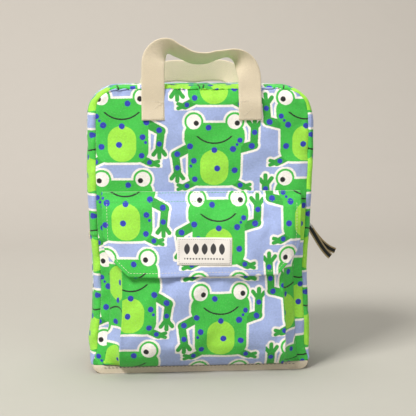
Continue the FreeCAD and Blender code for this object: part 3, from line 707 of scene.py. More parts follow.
def face_point(x, z, side, lift=0.0):
    """A point on the front (side -1) or back (side 1) face, lifted off it, before settling."""
    x, z = np.broadcast_arrays(np.asarray(x, dtype=float), np.asarray(z, dtype=float))
    depth, normal_x, normal_z = outline(x, z)
    pull = seam_inset(x, z, normal_z) * (1 - np.clip(depth / EDGE_REACH, 0, 1)) ** 1.5
    side_depth, _, _ = outline(x, np.maximum(z, 60 * MM))
    edge_fall = EDGE_DROP * (1 - smooth(side_depth / (16 * MM)))
    rim_swell = 1.6 * MM * (1 - smooth((z - RIM) / (3 * MM)))
    return stacked(x - normal_x * pull, side * (FRONT_REACH - edge_fall + rim_swell + lift), z - normal_z * pull)


def on_face(x, z, side, lift=0.0):
    """A point on the settled front or back face, lifted off it."""
    return settle(face_point(x, z, side, lift))


def arc_rows():
    """Heights of the rows of the front and back, with exact rows at the rim and the zip's ends."""
    turn = math.acos(1 - RIM / FOOT_RADIUS)
    turns = np.concatenate([np.linspace(0, turn, 7), np.linspace(turn, math.pi / 2, 4)[1:]])
    top = HEIGHT - TOP_RADIUS * (1 - np.cos(np.linspace(math.pi / 2, 0, 17)))
    lower = np.linspace(FOOT_RADIUS, ZIP_END, 53)
    upper = np.linspace(ZIP_END, HEIGHT - TOP_RADIUS, 43)
    return np.concatenate([FOOT_RADIUS * (1 - np.cos(turns)), lower[1:], upper[1:], top[1:]])


def edge_shares():
    """Where the columns lie, from -1 at the left edge to 1 at the right, closer near the edges."""
    near = np.array([0, 1.1, 2.4, 4.0, 6.0, 8.4, 11.2, 14.4]) * MM / HALF
    half = 1 - np.concatenate([near, np.linspace(near[-1], 1, 36)[1:]])
    return np.concatenate([-half, half[-2::-1]])


def edge_depths():
    """Where the rows of the strips lie from front to back, with exact rows at the zip's edges."""
    near = np.array([0, 0.5, 1.3, 2.6, 4.4, 6.6, 9.2]) * MM
    last_near = 12.5 * MM
    return np.concatenate([
        -SEAM_Y + near, np.linspace(-SEAM_Y + last_near, ZIP_FRONT, 12), np.linspace(ZIP_FRONT, ZIP_REAR, 5)[1:],
        np.linspace(ZIP_REAR, SEAM_Y - last_near, 8)[1:], SEAM_Y - near[::-1]])


def index_of(values, wanted):
    return int(np.argmin(np.abs(values - wanted)))


ROWS, SHARES, DEPTHS = arc_rows(), edge_shares(), edge_depths()
N_ROWS, N_COLS, N_DEPTHS = len(ROWS), len(SHARES), len(DEPTHS)
RIM_ROW, ZIP_ROW = index_of(ROWS, RIM), index_of(ROWS, ZIP_END)
ZIP_FRONT_COLUMN, ZIP_REAR_COLUMN = index_of(DEPTHS, ZIP_FRONT), index_of(DEPTHS, ZIP_REAR)


def rim_path():
    """Row and column of each vertex round the outline, from the bottom left over the top."""
    left = [(row, 0) for row in range(N_ROWS)]
    over = [(N_ROWS - 1, column) for column in range(1, N_COLS - 1)]
    right = [(row, N_COLS - 1) for row in reversed(range(N_ROWS))]
    return np.array(left + over + right)


RIM_PATH = rim_path()
N_RIM = len(RIM_PATH)


def rim_points():
    """Outline points and outward directions along the rim path."""
    z = ROWS[RIM_PATH[:, 0]]
    x = SHARES[RIM_PATH[:, 1]] * half_width(z)
    _, normal_x, normal_z = outline(x, z)
    return x, z, normal_x, normal_z


def cells(index, flip=False):
    """Quads of a grid of vertex numbers."""
    quads = np.stack([index[:-1, :-1], index[:-1, 1:], index[1:, 1:], index[1:, :-1]], -1)
    return quads[..., ::-1] if flip else quads


def shell_numbers():
    """Vertex numbers of the front, the back, the strip round the rim and the underside."""
    count = N_ROWS * N_COLS
    front = np.arange(count).reshape(N_ROWS, N_COLS)
    back = front + count
    strip = np.empty((N_RIM, N_DEPTHS), dtype=int)
    strip[:, 1:-1] = 2 * count + np.arange(N_RIM * (N_DEPTHS - 2)).reshape(N_RIM, -1)
    strip[:, 0], strip[:, -1] = front[tuple(RIM_PATH.T)], back[tuple(RIM_PATH.T)]
    under = np.empty((N_COLS, N_DEPTHS), dtype=int)
    under[1:-1, 1:-1] = strip[-1, -2] + 1 + np.arange((N_COLS - 2) * (N_DEPTHS - 2)).reshape(N_COLS - 2, -1)
    under[:, 0], under[:, -1] = front[0], back[0]
    under[0, :], under[-1, :] = strip[0], strip[-1]
    return front, back, strip, under


def build_shell():
    """Vertices of the whole shell, their flat-cloth coordinates, and each panel's faces."""
    grid_x = SHARES[None, :] * half_width(ROWS)[:, None]
    front, back = face_point(grid_x, ROWS[:, None], -1), face_point(grid_x, ROWS[:, None], 1)
    x, z, normal_x, normal_z = rim_points()
    turn = np.clip((SEAM_Y - np.abs(DEPTHS)) / ROUND_REACH, 0, 1)
    rounding = 1 - np.sqrt(1 - (1 - turn) ** 2)
    swell = SIDE_SWELL * (1 - (DEPTHS / SEAM_Y) ** 2)
    inset = seam_inset(x, z, normal_z) * smooth((z - 2 * MM) / (20 * MM))
    lift = swell[None, :] - inset[:, None] * rounding[None, :]
    strip = stacked(x[:, None] + normal_x[:, None] * lift, DEPTHS[None, :], z[:, None] + normal_z[:, None] * lift)
    under = stacked(grid_x[0][:, None], DEPTHS[None, :], 0.0)
    verts = np.concatenate([part.reshape(-1, 3) for part in (front, back, strip[:, 1:-1], under[1:-1, 1:-1])])
    front_index, back_index, strip_index, under_index = shell_numbers()
    front_cells, back_cells = cells(front_index), cells(back_index, flip=True)
    strip_cells, under_cells = cells(strip_index, flip=True), cells(under_index)
    last_left, first_right, last_right = ZIP_ROW, N_RIM - 1 - ZIP_ROW, N_RIM - 1 - RIM_ROW
    base = [front_cells[:RIM_ROW], back_cells[:RIM_ROW], strip_cells[:RIM_ROW], strip_cells[last_right:], under_cells]
    panels = {
        "front": front_cells[RIM_ROW:], "back": back_cells[RIM_ROW:],
        "left": strip_cells[RIM_ROW:last_left], "right": strip_cells[first_right:last_right],
        "front_strip": strip_cells[last_left:first_right, :ZIP_FRONT_COLUMN],
        "rear_strip": strip_cells[last_left:first_right, ZIP_REAR_COLUMN:],
        "base": np.concatenate([part.reshape(-1, 4) for part in base])}
    along = lengths(stacked(x, z))
    climb = np.minimum(along, along[-1] - along)
    uvs = {
        "front": (front_index, front[..., [X, Z]]),
        "back": (back_index, back[..., [X, Z]] * np.array([-1, 1]) + np.array([0.45, 0])),
        "strip": (strip_index, stacked(DEPTHS[None, :] + 0.254, climb[:, None]))}
    return verts, {key: part.reshape(-1, 4) for key, part in panels.items()}, uvs


def pucker(verts, normals):
    """Gathers along the seams: fine ripples that die out away from them, and a shallow groove."""
    x, y, z = verts.T
    depth, _, normal_z = outline(x, z)
    from_seam = np.maximum(depth - seam_inset(x, z, normal_z), 0)
    away = np.where(np.abs(y) > SEAM_Y - 1e-6, from_seam, (SEAM_Y - np.abs(y)) * 1.4)
    near = np.exp(-(away / (9 * MM)) ** 2) * smooth((z - 6 * MM) / (20 * MM))
    groove = np.exp(-(away / (1.5 * MM)) ** 2) * smooth((z - 2 * MM) / (10 * MM))
    rim = bump_at(z, RIM, 1.6 * MM)
    raised = near * relief(verts, (0.6, 14, 11)) + relief(verts, (0.16, 18, 12)) - (groove * 1.4 + rim * 0.9) * MM
    return verts + normals * raised[:, None]


SHELL, PANELS, SHELL_UVS = build_shell()
SHELL = settle(pucker(SHELL, vertex_normals(SHELL, np.concatenate(list(PANELS.values())))))
SHELL[:, Z] = np.maximum(SHELL[:, Z], FLOOR_GAP)


def panel(name, key, uv_key, material):
    """One panel of the shell as its own piece, thickened inwards."""
    used, faces = np.unique(PANELS[key], return_inverse=True)
    uv = np.zeros((len(SHELL), 2))
    if uv_key == "base":
        uv[:] = SHELL[:, :2] + SHELL[:, 2:3] * 0.7
    else:
        index, values = SHELL_UVS[uv_key]
        uv[index.ravel()] = values.reshape(-1, 2)
    obj = thicken(mesh_object(name, SHELL[used], faces.reshape(-1, 4), material, uv[used]), CANVAS)
    for vertex in obj.data.vertices:
        vertex.co.z = max(vertex.co.z, FLOOR_GAP)
    return obj


# ------------------------------------------------------------------ hiding the CAD nodes each piece stands for, and attaching it to its body
def declare(obj, slot, nodes=(), body=None, between=None, start=None, end=None):
    """Hide the CAD nodes a piece stands for, and attach it to the body it follows; a piece between two bodies only
    has its transform baked in place. slot is not used.
    """
    if nodes:
        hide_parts(*nodes)
    if body:
        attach(obj, body)
    if between:
        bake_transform(obj)
    return obj


ON_BAG = {"body": "bag"}
FRONT_BEND = {"between": ("bag", "front_top"), "start": (0, 0, FOLD - 12 * MM), "end": (0, 0, FOLD + 24 * MM)}

for name, key, uv_key, nodes, follows in (
        ("front_panel_cloth", "front", "front", ("front_panel_lower", "front_panel_upper"), FRONT_BEND),
        ("back_panel_cloth", "back", "back", ("back_panel",), ON_BAG),
        ("side_cloth_left", "left", "strip", ("side_gusset_left",), ON_BAG),
        ("side_cloth_right", "right", "strip", ("side_gusset_right",), ON_BAG),
        ("front_strip_cloth", "front_strip", "strip", ("front_gusset", "front_gusset_ends"), FRONT_BEND),
        ("rear_strip_cloth", "rear_strip", "strip", ("rear_gusset",), ON_BAG)):
    declare(panel(name, key, uv_key, PRINT), "printed_canvas", nodes, **follows)
declare(panel("base_cloth", "base", "base", NATURAL), "natural_canvas", ("base_panel",), "bag")


# ------------------------------------------------------------------ flat pieces laid over the bag
def patch(name, x_values, z_values, surface, material, thickness, uv_origin=(0, 0), offset=-1.0):
    """A sheet on a surface: x_values is rows by columns, z_values one height per row."""
    x_values, z_grid = np.broadcast_arrays(x_values, np.asarray(z_values)[:, None])
    uv = stacked(x_values - uv_origin[0], z_grid - uv_origin[1])
    return sheet(name, surface(x_values, z_grid), uv, material, thickness, offset)


LINING_MARGIN = 16 * MM
LINING_DEPTH = 2.6 * MM


def lining(name, side):
    """The lining inside one face, a margin within the outline."""
    shoulder = HEIGHT - TOP_RADIUS
    heights = np.concatenate([
        np.linspace(RIM + 2 * MM, shoulder, 60), np.linspace(shoulder, HEIGHT - 13 * MM, 12)[1:]])
    halves = np.maximum(half_width(np.minimum(heights + 8 * MM, HEIGHT)) - LINING_MARGIN, 30 * MM)
    return patch(name, np.linspace(-1, 1, 50) * halves[:, None], heights,
                 lambda x, z: on_face(x, z, side, -LINING_DEPTH), LINING, LINING_THICK, offset=-side * 1.0)


declare(lining("front_lining_cloth", -1), "lining_cloth", ("front_lining_lower", "front_lining_upper"), **FRONT_BEND)
declare(lining("back_lining_cloth", 1), "lining_cloth", ("back_lining",), "bag")

# ------------------------------------------------------------------ pocket
POCKET_HALF = 91 * MM
POCKET_ROOT = high("pocket_gusset", X) + 4 * MM
POCKET_TOP = high("pocket_front", Z)
# side profiles: height, and how far forward in millimetres
POCKET_PROFILE = np.array([
    (RIM, 54.5), (12 * MM, 59), (17 * MM, 64.5), (24 * MM, 69.5), (34 * MM, 72.8), (50 * MM, 73.6), (90 * MM, 70.6),
    (135 * MM, 65.8), (POCKET_TOP, 60.6)]) * [1, MM]


def profile_y(profile, z):
    return np.interp(z, profile[:, 0], -profile[:, 1])


def pocket_reach(x, z):
    """Where the pocket's outer face lies before settling: bellied in the middle, slack along its mouth."""
    share = np.abs(x) / POCKET_HALF
    risen = z - RIM
    belly = 2.0 * MM * (1 - np.clip(share, 0, 1) ** 4) * smooth(risen / (60 * MM)) * smooth(
        (POCKET_TOP + 40 * MM - z) / (90 * MM))
    ridge = 1.0 * MM * bump_at(share, 1.0, 0.03)
    soft = relief(stacked(x, 0 * x, z), (1.1, 60, 21), (0.45, 22, 22))
    return profile_y(POCKET_PROFILE, z) - belly - ridge - soft * smooth(risen / (30 * MM)) * (
        1 - 0.7 * smooth(share * 8 - 7))


def pocket_surface(x, z, lift=0.0):
    """A point on the pocket's outer face, lifted off it."""
    return settle(stacked(x, pocket_reach(x, z) - lift, z))


def pocket_front():
    heights = np.concatenate([np.linspace(RIM, 30 * MM, 12), np.linspace(30 * MM, POCKET_TOP, 66)[1:]])
    share = np.concatenate([[-1, -0.985, -0.965, -0.94], np.linspace(-0.91, 0.91, 72), [0.94, 0.965, 0.985, 1]])
    return patch("pocket_front_cloth", share * POCKET_HALF, heights, pocket_surface, PRINT, CANVAS,
                 (5 * MM, -8 * MM), offset=1.0)


def pocket_gusset(count=60, strips=12):
    """One bellows strip: down one side of the pocket, under it and up the other."""
    fall, side, foot = np.linspace(POCKET_TOP, RIM, count), np.full(count, POCKET_HALF), np.full(count - 2, RIM)
    edge_x = np.concatenate([-side, np.linspace(-1, 1, count)[1:-1] * POCKET_HALF, side])
    edge_z = np.concatenate([fall, foot, fall[::-1]])
    front_edge = pocket_surface(edge_x, edge_z)
    root_edge = on_face(edge_x / POCKET_HALF * POCKET_ROOT, np.maximum(edge_z, RIM + 0.5 * MM), -1, 0.2 * MM)
    share = np.linspace(0, 1, strips)[None, :]
    points = front_edge[:, None] * (1 - share[..., None]) + root_edge[:, None] * share[..., None]
    hollow = np.sin(share * math.pi) * smooth((np.abs(edge_x)[:, None] - 80 * MM) / (11 * MM))
    along = lengths(front_edge)
    creases = relief(stacked(along, 0 * along, 0 * along), (1.2, 40, 24))[:, None]
    points[..., X] -= np.sign(edge_x)[:, None] * hollow * (2.6 * MM + creases)
    return sheet("pocket_gusset_cloth", points, stacked(share * 28 * MM + 0.3, along[:, None]), PRINT, CANVAS)


declare(pocket_front(), "printed_canvas", ("pocket_front",), "bag")
declare(pocket_gusset(), "printed_canvas", ("pocket_gusset",), "bag")
mouth_line = pocket_surface(np.linspace(-POCKET_HALF, POCKET_HALF, 90), np.full(90, POCKET_TOP), -0.8 * MM)
declare(sweep("pocket_binding_tape", mouth_line + np.array([0, 0, 0.4 * MM]), [0, 0, 1.0],
              fold_profile(6 * MM, 3.0 * MM), NATURAL), "natural_canvas", ("pocket_binding",), "bag")

# ------------------------------------------------------------------ flap
FLAP_HALF = high("flap_panel", X)
FLAP_TOP = high("flap_panel", Z)
FLAP_FOOT = low("flap_panel", Z) + 2 * MM
FLAP_CUT = 26 * MM
FLAP_CLOTH = 1.4 * MM
OVER_POCKET = 3.4 * MM
FLAP_PROFILE = np.array([
    (FLAP_FOOT, 75.4), (120 * MM, 74.4), (150 * MM, 71.0), (176 * MM, 67.4), (185 * MM, 65.0), (192 * MM, 61.0),
    (197 * MM, 57.6), (FLAP_TOP, 55.2)]) * [1, MM]


def flap_surface(x, z, lift=0.0):
    """The flap's outer face: it hangs over the pocket's mouth and bends back past its corners."""
    fall = smooth((FLAP_TOP - z) / (40 * MM))
    face = stacked(x, 0 * x, z)
    soft = fall * relief(face, (1.2, 70, 31), (0.5, 24, 32))
    back = 6.5 * MM * np.clip((np.abs(x) - 90 * MM) / (18 * MM), 0, 1) ** 1.5 * fall
    crease = 1.3 * MM * bump_at(x, 99 * MM, 3.5 * MM) * fall
    curl = 0.96 * MM * (1 - smooth((z - FLAP_FOOT) / (14 * MM))) * (1 - 0.5 * np.cos(x / (22 * MM)))
    gathers = relief(face, (0.35, 12, 33)) * bump_at(z, FLAP_TOP - 6 * MM, 12 * MM)
    belly = 2.0 * MM * fall * (1 - np.abs(x) / FLAP_HALF)
    y = profile_y(FLAP_PROFILE, z) - soft + back - crease - curl - gathers - belly
    over_pocket = smooth((POCKET_TOP + 6 * MM - z) / (8 * MM)) * smooth((POCKET_HALF + 4 * MM - np.abs(x)) / (8 * MM))
    clear = pocket_reach(np.clip(x, -POCKET_HALF, POCKET_HALF), np.minimum(z, POCKET_TOP)) - OVER_POCKET
    return settle(stacked(x, y + np.minimum(clear - y, 0) * over_pocket - lift, z))


def flap_halves(heights, margin=0.0):
    """Half the flap's width at each height, with its cut corners a little rounded."""
    cut = np.maximum(FLAP_CUT - (heights - FLAP_FOOT), 0)
    return FLAP_HALF - cut - 1.2 * MM * bump_at(heights, FLAP_FOOT + FLAP_CUT, 4 * MM) - margin


def flap_sheet(name, margin, surface, material, thickness, origin=(0, 0)):
    knee = FLAP_FOOT + FLAP_CUT + 2 * MM
    heights = np.concatenate([np.linspace(FLAP_FOOT + margin, knee, 14), np.linspace(knee, FLAP_TOP, 44)[1:]])
    share = np.concatenate([[-1, -0.985, -0.965], np.linspace(-0.94, 0.94, 92), [0.965, 0.985, 1]])
    return patch(name, share * flap_halves(heights, margin)[:, None], heights, surface, material, thickness, origin)


FLAP = declare(flap_sheet("flap_cloth", 0.0, flap_surface, PRINT, FLAP_CLOTH, (3 * MM, 5 * MM)),
               "printed_canvas", ("flap_panel",), "flap")
FLAP_LINING = declare(flap_sheet("flap_lining_cloth", 1.0 * MM,
                                 lambda x, z: flap_surface(x, z, -FLAP_CLOTH - 0.15 * MM), LINING, LINING_THICK),
                      "lining_cloth", ("flap_lining",), "flap")


def surface_normals(surface, x, z, step=0.6 * MM):
    """Outward normals of a surface given as a function of x and z."""
    return unit(np.cross(surface(x + step, z) - surface(x - step, z), surface(x, z + step) - surface(x, z - step)))


def stitch_on(name, surface, x, z, material, **sizes):
    """Stitches along a line drawn on a surface."""
    return stitch_row(name, surface(x, z), surface_normals(surface, x, z), material, **sizes)


def flap_edge_line(margin):
    """A line inside the flap's free edge: down one side, along the foot, up the other."""
    corner = FLAP_FOOT + FLAP_CUT
    heights = np.concatenate([
        np.linspace(FLAP_TOP - 12 * MM, corner, 40), np.linspace(corner, FLAP_FOOT + margin, 14)[1:]])
    halves = flap_halves(heights, margin * 1.2)
    foot = np.linspace(-halves[-1], halves[-1], 90)[1:-1]
    z = np.concatenate([heights, np.full(len(foot), heights[-1]), heights[::-1]])
    return np.concatenate([-halves, foot, halves[::-1]]), z


seam_x = np.linspace(-FLAP_HALF + 4 * MM, FLAP_HALF - 4 * MM, 120)
for name, below in (("flap_stitches_upper", 1.6 * MM), ("flap_stitches_lower", 10.5 * MM)):
    declare(stitch_on(name, flap_surface, seam_x, np.full(120, FLAP_TOP - below), THREAD_GREEN),
            "printed_canvas", body="flap")
declare(stitch_on("flap_edge_stitches", flap_surface, *flap_edge_line(4.5 * MM), THREAD_PALE,
                  radius=0.26 * MM, pitch=3.4 * MM), "printed_canvas", body="flap")

# the label, slightly askew on the flap
LABEL_WIDE, LABEL_TALL = 60 * MM, 30 * MM
LABEL_Z = middle("label", Z) + 4 * MM
LABEL_X = middle("label", X)
LABEL_TILT = math.radians(-1.0)


def on_label(u, v):
    """A place on the label, as x and z of the flap."""
    return (LABEL_X + u * math.cos(LABEL_TILT) - v * math.sin(LABEL_TILT),
            LABEL_Z + u * math.sin(LABEL_TILT) + v * math.cos(LABEL_TILT))


def make_label():
    half_u, half_v = LABEL_WIDE / 2, LABEL_TALL / 2
    u, v = np.meshgrid(np.linspace(-half_u, half_u, 44), np.linspace(-half_v, half_v, 24))
    x, z = on_label(u, v)
    edge = np.minimum(half_u - np.abs(u), half_v - np.abs(v))
    lift = 0.5 * MM + 0.7 * MM * smooth(edge / (3 * MM))
    points = flap_surface(x, z) + surface_normals(flap_surface, x, z) * lift[..., None]
    return sheet("label_cloth", points, stacked(u, v), LABEL, 0.7 * MM)


def label_stitches(inset=2.2 * MM):
    half_u, half_v = LABEL_WIDE / 2 - inset, LABEL_TALL / 2 - inset
    corners = [(-half_u, -half_v), (half_u, -half_v), (half_u, half_v), (-half_u, half_v), (-half_u, -half_v)]
    u, v = np.concatenate([np.linspace(a, b, 24) for a, b in zip(corners, corners[1:])]).T
    x, z = on_label(u, v)
    keep = np.concatenate([[True], np.hypot(np.diff(x), np.diff(z)) > 1e-9])
    return stitch_on("label_stitches", lambda a, b: flap_surface(a, b, 1.05 * MM), x[keep], z[keep], THREAD_GREY,
                     pitch=2.3 * MM, length=1.6 * MM, radius=0.24 * MM)


declare(make_label(), "label_cloth", ("label",), "flap")
declare(label_stitches(), "label_cloth", body="flap")

# hook and loop patches under the flap
patch_x = np.linspace(-high("hook_patch", X), high("hook_patch", X), 40)
patch_z = np.linspace(low("hook_patch", Z), high("hook_patch", Z), 12)
declare(patch("hook_patch_tape", patch_x, patch_z, lambda x, z: pocket_surface(x, z, CANVAS * 0.1 + 1.1 * MM),
              HOOKS, 1.0 * MM), "hook_and_loop", ("hook_patch",), "bag")
declare(patch("loop_patch_tape", patch_x, patch_z, lambda x, z: flap_surface(x, z, -FLAP_CLOTH - 0.9 * MM),
              LOOPS, 0.7 * MM), "hook_and_loop", ("loop_patch",), "flap")

# ------------------------------------------------------------------ stitching round the rim of the base
rim_x = np.linspace(-HALF + 14 * MM, HALF - 14 * MM, 150)
for name, side in (("base_stitches_front", -1), ("base_stitches_back", 1)):
    declare(stitch_row(name, on_face(rim_x, RIM - 2.6 * MM, side, 0.25 * MM), [0, side * 1.0, -0.2], THREAD_GREY,
                       pitch=4.2 * MM, length=2.6 * MM), "natural_canvas", body="bag")


# ------------------------------------------------------------------ carrying handles
def arch(name, points):
    """A band of webbing along control rows of place, in millimetres, and across direction."""
    rows = spline(points, 150)
    return sweep(name, settle(rows[:, :3] * MM), rows[:, 3:], band_profile(WEBBING_WIDTH, WEBBING_THICK), WEBBING)


def seated(side, heights, lift):
    """Control rows of a left leg sewn to the front or back face; its last row stands off by lift."""
    reaches = [float(face_point(LEG_X, z * MM, side, 1.05 * MM)[Y]) / MM for z in heights]
    reaches[-1] += side * lift
    return [(-leg, y, z, 1, 0, 0) for y, z in zip(reaches, heights)]


def mirrored(rows):
    """Control rows of the other half, with the band the other way round."""
    return [(-x, y, z, -across_x, across_y, across_z) for x, y, z, across_x, across_y, across_z in reversed(rows)]


leg = LEG_X / MM
front_seat = seated(-1, (279, 290, 300, 309), 0.6)
front_arch = [
    (-leg, -51.6, 322, 1, 0.0, 0), (-leg + 0.2, -51, 336, 1, 0.02, 0), (-leg + 1.5, -49.5, 346, 0.97, 0.12, -0.15),
    (-leg + 8, -47, 354.0, 0.78, 0.42, -0.45), (-leg + 18, -43.5, 357.5, 0.34, 0.76, -0.58),
    (-23, -41, 353.0, 0.05, 0.85, -0.55), (-8, -40, 346.5, 0, 0.86, -0.5), (6, -40, 346.0, 0.0, 0.88, -0.45),
    (18, -41, 349.5, -0.05, 0.92, -0.36), (leg - 22, -43, 351.0, -0.28, 0.92, -0.24),
    (leg - 12, -45.5, 347.0, -0.6, 0.76, -0.2), (leg - 4.5, -48, 338, -0.9, 0.4, -0.08),
    (leg - 0.8, -50, 328, -1, 0.1, 0), (leg, -51.4, 319, -1, 0, 0)]
rear_half = seated(1, (279, 292, 300, 309), 0.6) + [
    (-leg + 0.3, 54, 315, 1, 0, 0.02), (-leg + 2.5, 55.6, 322, 0.93, 0, -0.25), (-leg + 9, 57, 328, 0.7, 0.05, -0.7),
    (-leg + 19, 58.4, 331.5, 0.25, 0.1, -0.95)]
rear_crown = [(-18, 59, 332.5, 0.0, 0.12, -1), (0, 59, 330.5, 0.0, 0.12, -1), (18, 59, 332.0, 0.0, 0.12, -1)]
LEG_BEND = {"start": (0, 0, 303 * MM), "end": (0, 0, 326 * MM)}
declare(arch("front_handle_webbing", front_seat + front_arch + mirrored(front_seat)), "cotton_webbing",
        ("handle_front", "front_handle_ends"), between=("front_top", "front_handle"), **LEG_BEND)
declare(arch("rear_handle_webbing", rear_half + rear_crown + mirrored(rear_half)), "cotton_webbing",
        ("handle_rear", "rear_handle_ends"), between=("bag", "rear_handle"), **LEG_BEND)


def box_stitches(name, middle_x, side):
    """A sewn square with a cross in it, holding a handle's end."""
    half = WEBBING_WIDTH / 2 - 2.6 * MM
    foot = SEWN_LOW + 3.4 * MM
    top = foot + 2 * half
    corners = [(-half, foot), (half, foot), (half, top), (-half, top), (-half, foot), (half, top)]
    runs = [np.linspace(a, b, 14, endpoint=False) for a, b in zip(corners, corners[1:])]
    u, z = np.concatenate(runs + [[corners[-1]]]).T
    return stitch_row(name, on_face(middle_x + u, z, side, 1.95 * MM), [0, side * 1.0, 0], THREAD_PALE,
                      pitch=2.8 * MM, length=2.0 * MM, radius=0.26 * MM)


for end, side, body in (("front", -1, "front_top"), ("rear", 1, "bag")):
    for hand, middle_x in (("left", -LEG_X), ("right", LEG_X)):
        declare(box_stitches(f"{end}_{hand}_box_stitches", middle_x, side), "cotton_webbing", body=body)

# ------------------------------------------------------------------ zip
ZIP_POINTS = 220
TAPE_COLUMNS = 9


def zip_path(count=ZIP_POINTS):
    """Points and outward directions of the top seam, from the left end over to the right end."""
    columns = [values[ZIP_ROW:N_RIM - ZIP_ROW] for values in rim_points()]
    along = lengths(stacked(*columns[:2]))
    wanted = np.linspace(0, along[-1], count)
    return [np.interp(wanted, along, values) for values in columns], along[-1]


def over_top(y_values, lifts, count=ZIP_POINTS):
    """Grid of points across the top seam, lifted from the outline along its outward direction."""
    x, z, normal_x, normal_z = (values[:, None] for values in zip_path(count)[0])
    lifts = np.asarray(lifts)[None, :] + SIDE_SWELL
    return settle(stacked(x + normal_x * lifts, np.asarray(y_values)[None, :], z + normal_z * lifts))


def tape(name, node):
    y_values = np.linspace(low(node, Y), high(node, Y), TAPE_COLUMNS)
    points = over_top(y_values, np.linspace(-2.3, -2.0, TAPE_COLUMNS) * MM)
    uv = stacked(y_values[None, :], np.linspace(0, zip_path()[1], ZIP_POINTS)[:, None])
    return sheet(name, points, uv, TAPE, 0.6 * MM, reverse=True)


declare(tape("zip_tape_front_cloth", "zip_tape_front"), "zip_tape", ("zip_tape_front", "zip_tape_front_ends"),
        **FRONT_BEND)
declare(tape("zip_tape_rear_cloth", "zip_tape_rear"), "zip_tape", ("zip_tape_rear",), "bag")

COIL_PITCH = 2.0 * MM
TOOTH_SIDES = 8
TOOTH_STEPS = 4
# along a tooth: how far it reaches across the middle, in millimetres, and its thickness
TOOTH_SHAPE = [(-3.2, 0.5), (-2.9, 0.85), (-1.0, 0.72), (0.9, 0.95), (1.3, 0.6)]


def coil(name, side, offset):
    """One half of the zip's coil: a round tooth at every turn, each reaching across the middle."""
    count = int(zip_path()[1] / COIL_PITCH)
    points = over_top([ZIP_MIDDLE - 0.01, ZIP_MIDDLE, ZIP_MIDDLE + 0.01], [-1.4 * MM] * 3, count * TOOTH_STEPS)[:, 1]
    forward = unit(np.gradient(points, axis=0))
    crosswise = np.array([0, 1.0, 0])
    turns = np.linspace(0, 2 * math.pi, TOOTH_SIDES, endpoint=False)
    ring = [(math.cos(a) * 0.52, math.sin(a) * 0.75) for a in turns]
    quads = grid_quads(len(TOOTH_SHAPE), TOOTH_SIDES, wrap=True)
    quads = quads if side > 0 else quads[:, [0, 3, 2, 1]]
    caps = np.arange(TOOTH_SIDES) + np.array([[0], [TOOTH_SIDES * (len(TOOTH_SHAPE) - 1)]])
    verts, faces = [], []
    for tooth in range(count - 1):
        k = min(int((tooth + offset) * TOOTH_STEPS), len(points) - 1)
        up = unit(np.cross(forward[k], crosswise))
        faces += (quads + len(verts)).tolist() + (caps + len(verts)).tolist()
        for reach, scale in TOOTH_SHAPE:
            core = points[k] - crosswise * side * reach * MM
            verts += [core + (forward[k] * u + up * v) * scale * MM for u, v in ring]
    return mesh_object(name, verts, faces, COIL)


declare(coil("zip_coil_front_teeth", -1, 0.0), "zip_coil", ("zip_coil_front", "zip_coil_front_ends"), **FRONT_BEND)
declare(coil("zip_coil_rear_teeth", 1, 0.5), "zip_coil", ("zip_coil_rear",), "bag")


def end_tab(name, side):
    """The folded canvas tab over a zip's end."""
    foot, top = low("zip_end_tabs", Z), high("zip_end_tabs", Z)
    y, z = np.meshgrid(np.linspace(low("zip_end_tabs", Y), high("zip_end_tabs", Y), 22), np.linspace(foot, top, 12))
    puff = 1.5 * MM + 0.5 * MM * smooth(np.minimum(z - foot, top - z) / (2.5 * MM))
    points = settle(stacked(side * (HALF + SIDE_SWELL + puff), y, z))
    return sheet(name, points, stacked(y, z), NATURAL, CANVAS, reverse=side < 0)


for hand, side in (("left", -1), ("right", 1)):
    declare(end_tab("zip_end_tab_" + hand, side), "natural_canvas", ("zip_end_tabs",), "bag")

# ------------------------------------------------------------------ pull ribbon: one band through the tab
TAB_X = middle("pull_tab", X)
PULL_Y = middle("pull_ribbon", Y)
FOLD_Z = low("pull_tab", Z) + 1.0 * MM
RIBBON_WIDTH = 7 * MM
RIBBON_DROP = 42 * MM
FOLD_RADIUS = 0.75
RIBBON_LEAN, RIBBON_BEND = math.radians(33), math.radians(7)


def ribbon_tail(shares, side, lean, spread, across):
    """One tail, as rows of place and across direction; share 0 is at the fold."""
    rows = []
    for share in shares:
        angle = RIBBON_LEAN + math.radians(lean) * share + RIBBON_BEND * share ** 3
        down = RIBBON_DROP * share
        rows.append([TAB_X + math.sin(angle) * down, PULL_Y + side * (FOLD_RADIUS + spread * share ** 2) * MM,
                     FOLD_Z - math.cos(angle) * down, across[0], across[1] * share, across[2]])
    return rows


def ribbon():
    """A band folded through the pull's slot; its two tails hang apart."""
    fold = [[TAB_X - 0.4 * MM * math.sin(a), PULL_Y - FOLD_RADIUS * MM * math.cos(a),
             FOLD_Z + FOLD_RADIUS * MM * math.sin(a), 0.86, 0, 0.5] for a in np.linspace(0, math.pi, 14)[1:-1]]
    rows = np.array(ribbon_tail(np.linspace(1, 0, 40), -1, -5, 3.0, (0.9, 0.12, 0.45)) + fold
                    + ribbon_tail(np.linspace(0, 1, 40), 1, 7, 1.0, (0.84, -0.1, 0.54)))
    places = rows[:, :3]
    length = float(np.sum(np.linalg.norm(np.diff(places, axis=0), axis=1)))
    profile = band_profile(RIBBON_WIDTH, 0.9 * MM, points=8)
    return sweep("pull_ribbon_band", places, rows[:, 3:], profile, RIBBON), length


RIBBON_PIECE, RIBBON_LENGTH = ribbon()
declare(RIBBON_PIECE, "pull_ribbon", ("pull_ribbon",), "pull")

